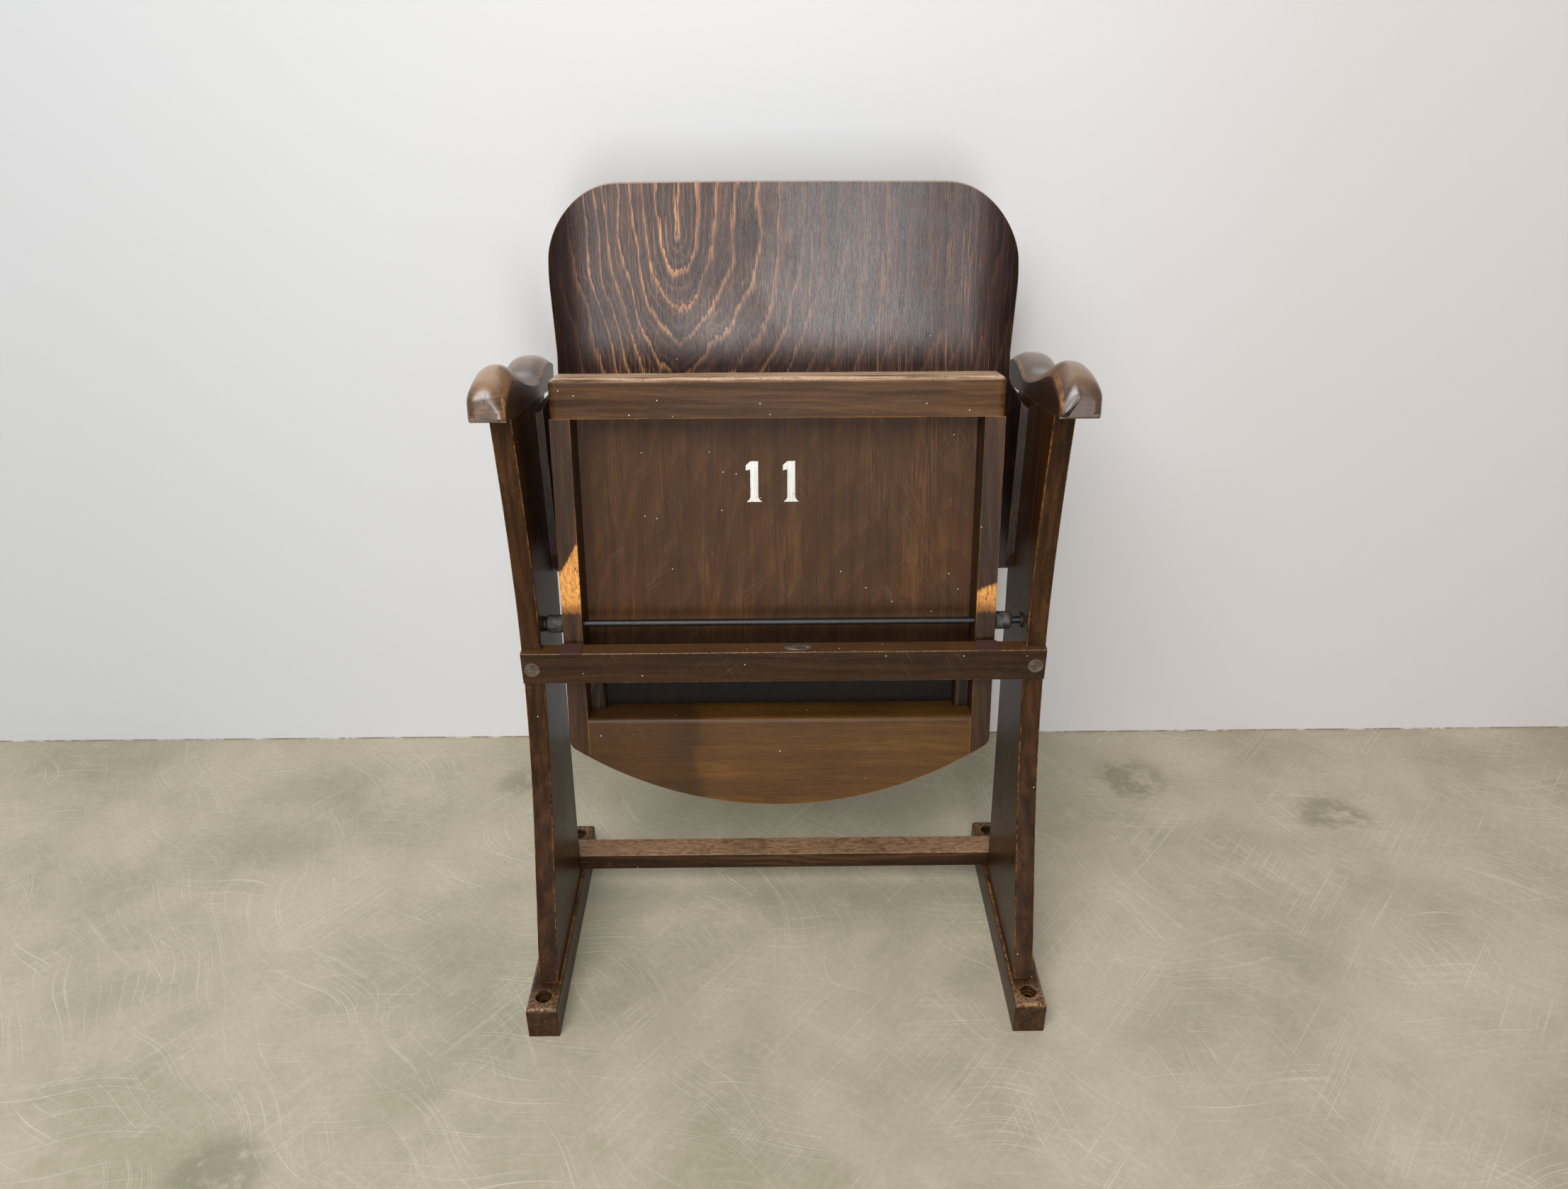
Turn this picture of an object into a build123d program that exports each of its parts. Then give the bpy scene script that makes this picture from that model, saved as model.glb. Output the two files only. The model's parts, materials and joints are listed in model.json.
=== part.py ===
from build123d import *
import math
import os

os.makedirs("parts", exist_ok=True)

# A wooden tip-up auditorium seat, in millimetres. +Z is up, the sitter faces -Y, and X = 0 is the
# middle plane. The origin is on the floor, at the centre of the four floor-bolt holes.
# left_ pieces lie at -X: the left of someone who stands in front of the seat and looks at it.

# ---- side frames ------------------------------------------------------------------------------
INNER_WIDTH = 502.0          # clear width between the two side panels
PANEL_THICK = 21.0
PANEL_ROUND = 2.5            # worn arrises of the front and rear edges
KNEE_Y = -6.5                # front edge where it stands vertical
KNEE_Z = 465.0
LOWER_ARC_RADIUS = 760.0     # front edge below the knee
UPPER_ARC_RADIUS = 1270.0    # front edge above the knee
LEG_STRAIGHT_Z = 190.0       # below this the front edge runs straight to the foot
NECK_STRAIGHT_Z = 600.0      # above this it runs straight up to the armrest
REAR_FOOT_Y = 64.0           # rear edge on the foot
REAR_TOP_Y = 148.5           # rear edge at ARM_LEVEL
REAR_HOLLOW = 3.8            # how far the rear edge bows in from its chord

FOOT_WIDTH = 34.0
FOOT_LENGTH = 308.0
FOOT_HEIGHT = 40.0
FOOT_OUTSET = 2.0            # foot's middle plane outside the panel's
FOOT_ROUND = 6.0
FOOT_ARRIS = 1.5             # upright corners
FLOOR_HOLE_INSET = 19.0      # hole's centre from the end of the foot
FLOOR_HOLE = 8.0
COUNTERBORE = 18.0
COUNTERBORE_DEPTH = 8.0

STRETCHER_DEPTH = 31.0
STRETCHER_HEIGHT = 21.5
STRETCHER_ROUND = 1.5

# ---- armrests ---------------------------------------------------------------------------------
ARM_LEVEL = 653.5            # armrest underside above the origin
ARM_PITCH = 10.6             # degrees, higher at the front
ARM_ROUND = 3.8              # lower outer edge
ARM_SHOULDER = 0.88          # where the top rolls over to the outer side, as a share of the width
ARM_SIDE_RISE = 0.42         # top of the upright outer side, as a share of the crest's height

# ---- front crossbar ---------------------------------------------------------------------------
BAR_BOTTOM_Z = 366.0
BAR_HEIGHT = 36.0
BAR_FRONT_Y = -16.5
BAR_DEPTH = 18.5
BAR_ROUND = 1.2
PAD_WIDTH = 22.0
PAD_THICK = 1.5
PAD_OVERHANG = 0.5           # pad past the bar's front edge
PLATE_LENGTH = 28.5
PLATE_WIDTH = 10.0
PLATE_THICK = 0.8
PLATE_X = 14.5
PLATE_PIN_PITCH = 21.0
PLATE_PIN = 2.0
PLATE_PIN_HEAD = 0.5
PLATE_PIN_LENGTH = 8.0

# ---- pivot ------------------------------------------------------------------------------------
ROD_Y = 24.8
ROD_RISE = 12.6              # above the top of the crossbar
ROD_DIAMETER = 7.5
ROD_END_DEPTH = 12.0         # rod end inside each panel
SOCKET_FLANGE = 16.0
SOCKET_FLANGE_THICK = 1.5
SOCKET_BARREL = 11.0
SOCKET_FLOOR = 1.5           # closed end of the socket behind the rod
BUSH_DIAMETER = 19.0
BUSH_CHAMFER = 2.0
SLEEVE_DIAMETER = 11.0
RUNNING_CLEARANCE = 0.05     # round the rod, on the radius

# ---- backrest ---------------------------------------------------------------------------------
SHEET_THICK = 8.0
SHEET_BEND = 55.0            # inside radius of the two upright bends
SHEET_HOLLOW_RADIUS = 2200.0 # cross curve of the middle
SHEET_MIDDLE_Y = 150.0       # front surface of the middle at SHEET_BOTTOM_Z
SHEET_LEAN = 9.0             # degrees
SHEET_BOTTOM_Z = 430.0
SHEET_CROWN = 162.0          # height of the part above the waist
SHEET_TOP_CORNER = 0.43      # radius of the top corners, as a share of the crown
SHEET_SHOULDER = 0.48        # widest place, as a share of the crown
SHEET_SIDE_ROUND = 300.0     # radius of the side edge there
SHEET_INSET = 11.5           # widest place inside the side panels
SHEET_TOP_INSET = 14.5       # the same at the top edge
WAIST_INSET = 14.0           # the same at the waist
WAIST_RISE = 13.0            # waist above ARM_LEVEL
SHEET_SHIFT = 2.0            # the part above the armrests stands this far to the right
WING_TOP_DROP = 30.0         # top of the wings below ARM_LEVEL
WING_TOP_ROUND = 22.0
WING_FRONT_Y = 88.0
WING_CORNER = 35.0
ARCH_RISE = 20.0             # lower edge is cut up by this between the wings
ARCH_INSET = 18.0            # ends of the arch inside the side panels
ARCH_ROUND = 7.0

# ---- seat, in its own frame: X across, Y from the underside to the sitting side, Z to the front,
# ---- with the pivot axis as origin
SEAT_GAP = 25.0              # between the seat and each side panel, if it stood in the middle
SEAT_SHIFT = -4.7            # the seat stands this far off the middle, on its rod
PIVOT_DEPTH = 13.2           # pivot axis behind the underside of the rails
RAIL_WIDTH = 20.5
RAIL_DEPTH = 42.0
SEAT_PANEL_THICK = 10.0
FRONT_RAIL_START = 217.5     # along the seat, from the pivot axis
FRONT_RAIL_WIDTH = 40.0
NOSE_TOP_ROUND = 15.0
NOSE_UNDER_ROUND = 7.0
NOSE_END_ROUND = 7.0
BLOCK_START = 104.5          # near edge of the rear block from the pivot axis
SEAT_TAIL = 207.5            # rearmost point of the seat from the pivot axis
TAIL_RADIUS = 391.0
TAIL_CORNER = 12.0
BLOCK_ROUND = 5.0
WEIGHT_LENGTH = 0.71         # as a share of the seat's width
WEIGHT_WIDTH = 30.0
WEIGHT_THICK = 16.0
WEIGHT_INSET = 20.0          # weight's near edge from the block's near edge
BLOCK_CORNER = 14.0          # round of its ends next to the seat panel
GLUE_BLOCK_WIDTH = 15.5      # strips in the corner of rail and seat panel, on top of the rear block
GLUE_BLOCK_DEPTH = 13.0
GLUE_BLOCK_LENGTH = 46.0
GLUE_BLOCK_CHAMFER = 2.0

# ---- fastenings -------------------------------------------------------------------------------
BAR_SCREW_HEAD = 14.6
BAR_SCREW_SHANK = 6.0
BAR_SCREW_LENGTH = 50.0
BACK_SCREW_HEAD = 10.0
BACK_SCREW_SHANK = 4.0
BACK_SCREW_LENGTH = 24.0
BACK_SCREW_RISE = 44.0       # lower screw above the sheet's lower edge
BACK_SCREW_DROP = 60.0       # upper screw below the top of the wings
BACK_SCREW_INSET = 11.0      # from the wing's front edge
FOOT_SCREW_HEAD = 12.0
FOOT_SCREW_SHANK = 6.0
FOOT_SCREW_LENGTH = 70.0
FOOT_SCREW_SINK = 2.0
FOOT_SCREW_INSET = 28.0      # from the ends of the panel's foot
STRETCHER_SCREW_HEAD = 10.0
STRETCHER_SCREW_SHANK = 5.0
STRETCHER_SCREW_LENGTH = 45.0
SLOT_WIDTH = 1.4
SLOT_DEPTH = 1.4
DOWEL_DIAMETER = 8.0
DOWEL_IN_RAIL = 26.0
DOWEL_IN_NOSE = 24.0
DOWEL_IN_SIDE = 14.0
DOWEL_IN_BLOCK = 22.0
DOWEL_IN_PANEL = 26.0
DOWEL_IN_ARM = 12.0
ARM_DOWEL_FRONT_Y = 15.0
ARM_DOWEL_REAR_Y = 100.0
BLOCK_DOWEL_INSET = 10.0     # first dowel from the block's near edge
BLOCK_DOWEL_PITCH = 18.0

# ---- clearances -------------------------------------------------------------------------------
HOLE_CLEARANCE = 0.1         # round a screw or dowel, on the radius
END_CLEARANCE = 1.0          # past the end of a screw, dowel or rod
STOP_CLEARANCE = 0.3         # between the seat and what it rests against, at both ends
SIDE_CLEARANCE = 0.3         # between the seat, the bushes and the sockets
STRETCHER_CLEARANCE = 0.3    # between the stretcher and the panel's rear edge
CUT = 1000.0                 # reach of a cutting block, past everything

# ---- worked out from the above ----------------------------------------------------------------
PANEL_INNER = INNER_WIDTH / 2
PANEL_OUTER = PANEL_INNER + PANEL_THICK
PANEL_MIDDLE = PANEL_INNER + PANEL_THICK / 2
FOOT_MIDDLE = PANEL_MIDDLE + FOOT_OUTSET
FLOOR_HOLE_Y = FOOT_LENGTH / 2 - FLOOR_HOLE_INSET
REAR_SLOPE = (REAR_TOP_Y - REAR_FOOT_Y) / (ARM_LEVEL - FOOT_HEIGHT)
STRETCHER_TOP_Z = FOOT_HEIGHT + STRETCHER_HEIGHT
STRETCHER_FRONT_Y = REAR_FOOT_Y + REAR_SLOPE * STRETCHER_HEIGHT + STRETCHER_CLEARANCE
STRETCHER_BACK_Y = STRETCHER_FRONT_Y + STRETCHER_DEPTH
SHEET_WAIST_Z = ARM_LEVEL + WAIST_RISE
SHEET_TOP_Z = SHEET_WAIST_Z + SHEET_CROWN
WING_TOP_Z = ARM_LEVEL - WING_TOP_DROP
BAR_TOP_Z = BAR_BOTTOM_Z + BAR_HEIGHT
BAR_BACK_Y = BAR_FRONT_Y + BAR_DEPTH
ROD_Z = BAR_TOP_Z + ROD_RISE
BAR_SCREW_Z = BAR_BOTTOM_Z + 0.47 * BAR_HEIGHT
PAD_TOP_Z = BAR_TOP_Z + PAD_THICK
SEAT_HALF = PANEL_INNER - SEAT_GAP
RAIL_INNER = SEAT_HALF - RAIL_WIDTH
RAIL_MIDDLE = SEAT_HALF - RAIL_WIDTH / 2
SEAT_UNDERSIDE = -PIVOT_DEPTH
PANEL_UNDERSIDE = RAIL_DEPTH - PIVOT_DEPTH
SEAT_TOP = PANEL_UNDERSIDE + SEAT_PANEL_THICK
SEAT_FRONT = FRONT_RAIL_START + FRONT_RAIL_WIDTH
STOP_GAP = PIVOT_DEPTH + STOP_CLEARANCE


def stop_angle(run, drop):
    """Angle between the seat's underside and the line from the pivot to a stop edge, degrees."""
    return math.degrees(math.asin(STOP_GAP / math.hypot(run, drop)))


# Tipped up, the underside leans on the lower rear edge of the crossbar. Tipped down, it lands on
# the rear edge of the pads on top of the crossbar.
BAR_RUN = ROD_Y - BAR_BACK_Y
UP_DROP = ROD_Z - BAR_BOTTOM_Z
DOWN_DROP = ROD_Z - PAD_TOP_Z
REST_LEAN = math.degrees(math.atan2(BAR_RUN, UP_DROP)) - stop_angle(BAR_RUN, UP_DROP)
LANDED_RISE = stop_angle(BAR_RUN, DOWN_DROP) - math.degrees(math.atan2(DOWN_DROP, BAR_RUN))
TRAVEL = 90.0 + REST_LEAN - LANDED_RISE
SEAT_PLACE = Pos(SEAT_SHIFT, ROD_Y, ROD_Z) * Rot(X=-REST_LEAN)


def span(x, y, z):
    """Box from three (low, high) pairs."""
    size = Box(x[1] - x[0], y[1] - y[0], z[1] - z[0])
    return Pos((x[0] + x[1]) / 2, (y[0] + y[1]) / 2, (z[0] + z[1]) / 2) * size


def mirrored(solid):
    return mirror(solid, about=Plane.YZ)


def pair(solid):
    """The solid and its mirror image, as two separate solids of one node."""
    return Compound(children=[solid, mirrored(solid)])


def write(name, shape):
    export_step(shape, f"parts/{name}.step")


def long_edges(solid, axis, limit):
    """Straight edges along an axis that are longer than the limit."""
    return [edge for edge in solid.edges().filter_by(axis) if edge.length > limit]


# ---- fastenings -------------------------------------------------------------------------------
def screw(head, shank, length):
    """Slotted countersunk wood screw, head face on Z = 0 and point down."""
    cone = (head - shank) / 2
    rim = 0.4
    point = shank
    outline = Polyline(
        (0, 0), (head / 2, 0), (head / 2, -rim), (shank / 2, -rim - cone),
        (shank / 2, point - length), (0.3, -length), (0, -length), close=True,
    )
    body = revolve(Plane.XZ * make_face(outline), axis=Axis.Z)
    return body - Box(head + 1, SLOT_WIDTH, 2 * SLOT_DEPTH)


def screw_hole(head, shank, length):
    """Hole that takes the screw with clearance all round, open at Z = 0."""
    cone = (head - shank) / 2
    rim = 0.4
    wide = head / 2 + HOLE_CLEARANCE
    narrow = shank / 2 + HOLE_CLEARANCE
    outline = Polyline(
        (0, 5), (wide, 5), (wide, -rim - HOLE_CLEARANCE), (narrow, -rim - cone - HOLE_CLEARANCE),
        (narrow, -length - END_CLEARANCE), (0, -length - END_CLEARANCE), close=True,
    )
    return revolve(Plane.XZ * make_face(outline), axis=Axis.Z)


def dowel(below, above):
    """Wooden dowel along Z with chamfered ends, from -below to +above."""
    body = Cylinder(DOWEL_DIAMETER / 2, below + above, align=(Align.CENTER, Align.CENTER, Align.MIN))
    ends = body.edges().filter_by(GeomType.CIRCLE)
    return Pos(0, 0, -below) * chamfer(ends, 1.0)


def dowel_hole(below, above):
    deep = below + above + 2 * END_CLEARANCE
    radius = DOWEL_DIAMETER / 2 + HOLE_CLEARANCE
    body = Cylinder(radius, deep, align=(Align.CENTER, Align.CENTER, Align.MIN))
    return Pos(0, 0, -below - END_CLEARANCE) * body


def front_edge(radius, z):
    """Point and slope (Y per Z) of the panel's front edge where it is an arc of that radius."""
    reach = math.sqrt(radius**2 - (z - KNEE_Z) ** 2)
    return (KNEE_Y - radius + reach, z), (KNEE_Z - z) / reach


def toe_y():
    """Front end of the panel's foot."""
    leg, slope = front_edge(LOWER_ARC_RADIUS, LEG_STRAIGHT_Z)
    return leg[0] - slope * (LEG_STRAIGHT_Z - FOOT_HEIGHT)


# ---- places of the fastenings on the right-hand side ------------------------------------------
BAR_SCREW_PLACE = Pos(PANEL_MIDDLE, BAR_FRONT_Y, BAR_SCREW_Z) * Rot(X=90)
FOOT_SCREW_PLACES = [
    Pos(PANEL_MIDDLE, y, FOOT_SCREW_SINK) * Rot(X=180)
    for y in (toe_y() + FOOT_SCREW_INSET, REAR_FOOT_Y - FOOT_SCREW_INSET)
]
STRETCHER_SCREW_PLACE = Pos(FOOT_MIDDLE, (STRETCHER_FRONT_Y + STRETCHER_BACK_Y) / 2, STRETCHER_TOP_Z)
ARM_PLANE = Pos(0, 0, ARM_LEVEL) * Rot(X=-ARM_PITCH)
ARM_DOWEL_PLACES = [
    ARM_PLANE * Pos(PANEL_MIDDLE, y, 0)
    for y in (ARM_DOWEL_FRONT_Y, ARM_DOWEL_REAR_Y)
]


# The backrest leans as one piece: its own frame has Z up the sheet and Y square to its middle, with
# the origin on the front surface at SHEET_BOTTOM_Z.
SHEET_PLACE = Pos(0, SHEET_MIDDLE_Y, SHEET_BOTTOM_Z) * Rot(X=-SHEET_LEAN)


def bend_centre():
    """Centre of the right-hand bend in the sheet's frame, as X and Y."""
    x = PANEL_INNER - SHEET_THICK - SHEET_BEND
    reach = SHEET_HOLLOW_RADIUS - SHEET_BEND
    return x, math.sqrt(reach**2 - x**2) - SHEET_HOLLOW_RADIUS


def back_screw_place(z):
    """A backrest screw stands square to the sheet, also where the sheet has begun to bend."""
    bend_x, bend_y = bend_centre()
    run = WING_FRONT_Y + BACK_SCREW_INSET - SHEET_MIDDLE_Y
    rise = z - SHEET_BOTTOM_Z
    lean = math.radians(SHEET_LEAN)
    across = run * math.cos(lean) - rise * math.sin(lean)
    along = run * math.sin(lean) + rise * math.cos(lean)
    turn = math.asin(max(0.0, across - bend_y) / SHEET_BEND)
    surface = bend_x + SHEET_BEND * math.cos(turn)
    return SHEET_PLACE * Pos(surface, across, along) * Rot(Z=math.degrees(turn)) * Rot(Y=-90)


BACK_SCREW_PLACES = [
    back_screw_place(z) for z in (SHEET_BOTTOM_Z + BACK_SCREW_RISE, WING_TOP_Z - BACK_SCREW_DROP)
]


# ---- side frames ------------------------------------------------------------------------------
def above_armrest_plane():
    return ARM_PLANE * Box(CUT, CUT, CUT, align=(Align.CENTER, Align.CENTER, Align.MIN))


def front_arc(radius, start_z, end_z):
    """The part of the front edge between two heights, as one arc."""
    points = [front_edge(radius, z)[0] for z in (start_z, (start_z + end_z) / 2, end_z)]
    return ThreePointArc(*points)


def side_panel():
    above = ARM_LEVEL + 30.0
    leg, _ = front_edge(LOWER_ARC_RADIUS, LEG_STRAIGHT_Z)
    neck, neck_slope = front_edge(UPPER_ARC_RADIUS, NECK_STRAIGHT_Z)
    toe = (toe_y(), FOOT_HEIGHT)
    high = (neck[0] + neck_slope * (above - NECK_STRAIGHT_Z), above)
    rear_top = (REAR_TOP_Y, ARM_LEVEL)
    rear_foot = (REAR_FOOT_Y, FOOT_HEIGHT)
    rear_mid = ((REAR_FOOT_Y + REAR_TOP_Y) / 2 - REAR_HOLLOW, (FOOT_HEIGHT + ARM_LEVEL) / 2)
    edge = [
        Line(toe, leg),
        front_arc(LOWER_ARC_RADIUS, LEG_STRAIGHT_Z, KNEE_Z),
        front_arc(UPPER_ARC_RADIUS, KNEE_Z, NECK_STRAIGHT_Z),
        Line(neck, high),
        Line(high, rear_top),
        ThreePointArc(rear_top, rear_mid, rear_foot),
        Line(rear_foot, toe),
    ]
    outline = Plane.YZ.offset(PANEL_INNER) * make_face(edge)
    panel = extrude(outline, PANEL_THICK)
    arrises = [
        e for e in panel.edges()
        if e.bounding_box().size.X < 0.01 and e.bounding_box().size.Z > e.bounding_box().size.Y
    ]
    panel = fillet(arrises, PANEL_ROUND) - above_armrest_plane()
    panel -= span((PANEL_INNER - 1, PANEL_OUTER + 1), (BAR_FRONT_Y, BAR_BACK_Y), (BAR_BOTTOM_Z, BAR_TOP_Z))
    panel -= BAR_SCREW_PLACE * screw_hole(BAR_SCREW_HEAD, BAR_SCREW_SHANK, BAR_SCREW_LENGTH)
    for place in BACK_SCREW_PLACES:
        panel -= place * screw_hole(BACK_SCREW_HEAD, BACK_SCREW_SHANK, BACK_SCREW_LENGTH)
    for place in FOOT_SCREW_PLACES:
        panel -= place * screw_hole(FOOT_SCREW_HEAD, FOOT_SCREW_SHANK, FOOT_SCREW_LENGTH)
    for place in ARM_DOWEL_PLACES:
        panel -= place * dowel_hole(DOWEL_IN_PANEL, DOWEL_IN_ARM)
    return panel - socket_hole()


def foot():
    low = FOOT_MIDDLE - FOOT_WIDTH / 2
    body = span((low, low + FOOT_WIDTH), (-FOOT_LENGTH / 2, FOOT_LENGTH / 2), (0, FOOT_HEIGHT))
    body = fillet(body.edges().filter_by(Axis.Z), FOOT_ARRIS)
    top = body.faces().sort_by(Axis.Z)[-1]
    body = fillet(top.edges(), FOOT_ROUND)
    for y in (-FLOOR_HOLE_Y, FLOOR_HOLE_Y):
        body -= Pos(FOOT_MIDDLE, y, FOOT_HEIGHT / 2) * Cylinder(FLOOR_HOLE / 2, FOOT_HEIGHT + 2)
        sunk = Cylinder(COUNTERBORE / 2, 2 * COUNTERBORE_DEPTH)
        body -= Pos(FOOT_MIDDLE, y, FOOT_HEIGHT) * sunk
    for place in FOOT_SCREW_PLACES:
        body -= place * screw_hole(FOOT_SCREW_HEAD, FOOT_SCREW_SHANK, FOOT_SCREW_LENGTH)
    return body - STRETCHER_SCREW_PLACE * screw_hole(
        STRETCHER_SCREW_HEAD, STRETCHER_SCREW_SHANK, STRETCHER_SCREW_LENGTH)


def rear_stretcher():
    bar = span((-PANEL_OUTER, PANEL_OUTER), (STRETCHER_FRONT_Y, STRETCHER_BACK_Y),
               (FOOT_HEIGHT, STRETCHER_TOP_Z))
    bar = fillet(long_edges(bar, Axis.X, INNER_WIDTH), STRETCHER_ROUND)
    hole = STRETCHER_SCREW_PLACE * screw_hole(
        STRETCHER_SCREW_HEAD, STRETCHER_SCREW_SHANK, STRETCHER_SCREW_LENGTH)
    return bar - hole - mirrored(hole)


# ---- armrests ---------------------------------------------------------------------------------
# Sections square to the armrest, in the frame of its underside: place behind the origin, height of
# the lower outer edge, inner side off the panel's inner face, outer side off it, height of the
# crease along the inner side, the crest off the same face, its height, and how much of that height
# the shoulder keeps.
ARM_STATIONS = [
    (-40.5, 7.0, 4.5, 34.0, 14.5, 15.0, 18.5, 0.84),
    (-39.2, 4.5, 2.0, 36.5, 16.5, 14.0, 22.0, 0.82),
    (-35.5, 0.5, 0.3, 38.8, 19.0, 13.0, 28.0, 0.80),
    (-27.0, 0.0, 0.0, 39.5, 22.0, 12.0, 36.0, 0.77),
    (-15.0, 0.0, 0.0, 39.5, 26.5, 11.0, 43.0, 0.74),
    (2.0, 0.0, 0.0, 38.5, 30.0, 11.0, 46.0, 0.73),
    (28.0, 0.0, 0.0, 35.0, 27.5, 11.0, 40.5, 0.72),
    (62.0, 0.0, 0.0, 31.0, 20.5, 11.5, 32.0, 0.70),
    (100.0, 0.0, 0.0, 30.0, 14.5, 12.5, 24.0, 0.68),
    (130.0, 0.0, 0.0, 34.0, 14.0, 15.0, 24.0, 0.66),
    (150.0, 0.0, 0.0, 40.5, 22.0, 17.0, 32.0, 0.64),
    (172.0, 0.0, 0.0, 44.5, 28.0, 18.0, 37.5, 0.63),
    (194.0, 0.0, 0.0, 44.0, 26.0, 18.0, 35.0, 0.63),
    (207.0, 1.5, 2.0, 39.0, 19.0, 18.0, 26.5, 0.66),
    (213.0, 8.0, 7.0, 32.0, 14.0, 18.0, 18.5, 0.75),
]
ARM_SPARE = 3.0              # below the underside, cut away by its plane


def arm_section(y, low, inner, outer, crease, crest_x, crest, keep):
    shoulder = (inner + (outer - inner) * ARM_SHOULDER, low + (crest - low) * keep)
    side = low + (crest - low) * ARM_SIDE_RISE
    radius = 1.3 * ARM_ROUND
    arc_x, arc_z = outer - radius, low + ARM_ROUND
    turned = [
        (arc_x + radius * math.cos(turn), arc_z - radius * math.sin(turn))
        for turn in (0.0, math.radians(40), math.radians(80))
    ]
    bottom = low - ARM_SPARE
    outline = make_face([
        Line((inner, bottom), (inner, crease)),
        Spline(
            (inner, crease), (crest_x, crest), shoulder, (outer, side),
            tangents=[(crest_x - inner, 2 * (crest - crease)), (0, -1)],
        ),
        Line((outer, side), turned[0]),
        ThreePointArc(*turned),
        Line(turned[2], (turned[2][0], bottom)),
        Line((turned[2][0], bottom), (inner, bottom)),
    ])
    return ARM_PLANE * Pos(PANEL_INNER, y, 0) * (Plane.XZ * outline)


def armrest():
    body = loft([arm_section(*station) for station in ARM_STATIONS])
    body -= ARM_PLANE * Box(CUT, CUT, CUT, align=(Align.CENTER, Align.CENTER, Align.MAX))
    for place in ARM_DOWEL_PLACES:
        body -= place * dowel_hole(DOWEL_IN_PANEL, DOWEL_IN_ARM)
    return body


# ---- front crossbar, its pads and its plate ---------------------------------------------------
def front_rail():
    bar = span((-PANEL_OUTER, PANEL_OUTER), (BAR_FRONT_Y, BAR_BACK_Y), (BAR_BOTTOM_Z, BAR_TOP_Z))
    bar = fillet(bar.faces().sort_by(Axis.Y)[0].edges(), BAR_ROUND)
    hole = BAR_SCREW_PLACE * screw_hole(BAR_SCREW_HEAD, BAR_SCREW_SHANK, BAR_SCREW_LENGTH)
    bar = bar - hole - mirrored(hole)
    for pin in plate_pin_places():
        bar -= pin * Cylinder(PLATE_PIN / 2 + HOLE_CLEARANCE, 2 * PLATE_PIN_LENGTH)
    return bar


def landing_pad(side):
    middle = SEAT_SHIFT + side * RAIL_MIDDLE
    return span((middle - PAD_WIDTH / 2, middle + PAD_WIDTH / 2),
                (BAR_FRONT_Y - PAD_OVERHANG, BAR_BACK_Y), (BAR_TOP_Z, PAD_TOP_Z))


def plate_pin_places():
    y = BAR_FRONT_Y + BAR_DEPTH / 2
    return [Pos(PLATE_X + side * PLATE_PIN_PITCH / 2, y, BAR_TOP_Z) for side in (-1, 1)]


def oval_plate():
    oval = Ellipse(PLATE_LENGTH / 2, PLATE_WIDTH / 2)
    plate = Pos(PLATE_X, BAR_FRONT_Y + BAR_DEPTH / 2, BAR_TOP_Z) * extrude(oval, PLATE_THICK)
    for pin in plate_pin_places():
        plate -= pin * Cylinder(PLATE_PIN / 2 + HOLE_CLEARANCE, 4 * PLATE_THICK)
    return plate


def plate_pins():
    pins = []
    for place in plate_pin_places():
        length = PLATE_PIN_LENGTH + PLATE_THICK - END_CLEARANCE
        shank = Cylinder(PLATE_PIN / 2, length, align=(Align.CENTER, Align.CENTER, Align.MAX))
        head = Cylinder(0.8 * PLATE_PIN, PLATE_PIN_HEAD, align=(Align.CENTER, Align.CENTER, Align.MIN))
        pins.append(place * Pos(0, 0, PLATE_THICK) * (shank + head))
    return Compound(children=pins)


# ---- pivot ------------------------------------------------------------------------------------
ALONG_X = Rot(Y=90)


def tube(outer, inner, length):
    """Tube along +X from X = 0."""
    ring = Circle(outer / 2) - Circle(inner / 2)
    return ALONG_X * extrude(ring, length)


def rod_bore(length):
    return ALONG_X * extrude(Circle(ROD_DIAMETER / 2 + RUNNING_CLEARANCE), length)


def pivot_rod():
    half = PANEL_INNER + ROD_END_DEPTH
    rod = ALONG_X * Cylinder(ROD_DIAMETER / 2, 2 * half)
    rod = chamfer(rod.edges().filter_by(GeomType.CIRCLE), 0.8)
    return Pos(0, ROD_Y, ROD_Z) * rod


def pivot_socket():
    """Flanged cup let into the right-hand panel, which holds the end of the rod."""
    depth = ROD_END_DEPTH + END_CLEARANCE + SOCKET_FLOOR
    cup = ALONG_X * extrude(Circle(SOCKET_BARREL / 2), depth)
    flange = Pos(-SOCKET_FLANGE_THICK, 0, 0) * ALONG_X * extrude(
        Circle(SOCKET_FLANGE / 2), SOCKET_FLANGE_THICK)
    bore = Pos(-SOCKET_FLANGE_THICK, 0, 0) * rod_bore(
        SOCKET_FLANGE_THICK + ROD_END_DEPTH + END_CLEARANCE)
    return Pos(PANEL_INNER, ROD_Y, ROD_Z) * (cup + flange - bore)


def socket_hole():
    depth = ROD_END_DEPTH + 2 * END_CLEARANCE + SOCKET_FLOOR
    hole = ALONG_X * extrude(Circle(SOCKET_BARREL / 2 + HOLE_CLEARANCE), depth)
    return Pos(PANEL_INNER, ROD_Y, ROD_Z) * hole


# The tighter of the two gaps between seat and panel sets the length of both bushes.
TIGHT_GAP = PANEL_INNER - SOCKET_FLANGE_THICK - SEAT_HALF - abs(SEAT_SHIFT)
BUSH_LENGTH = TIGHT_GAP - 2 * SIDE_CLEARANCE


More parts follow.
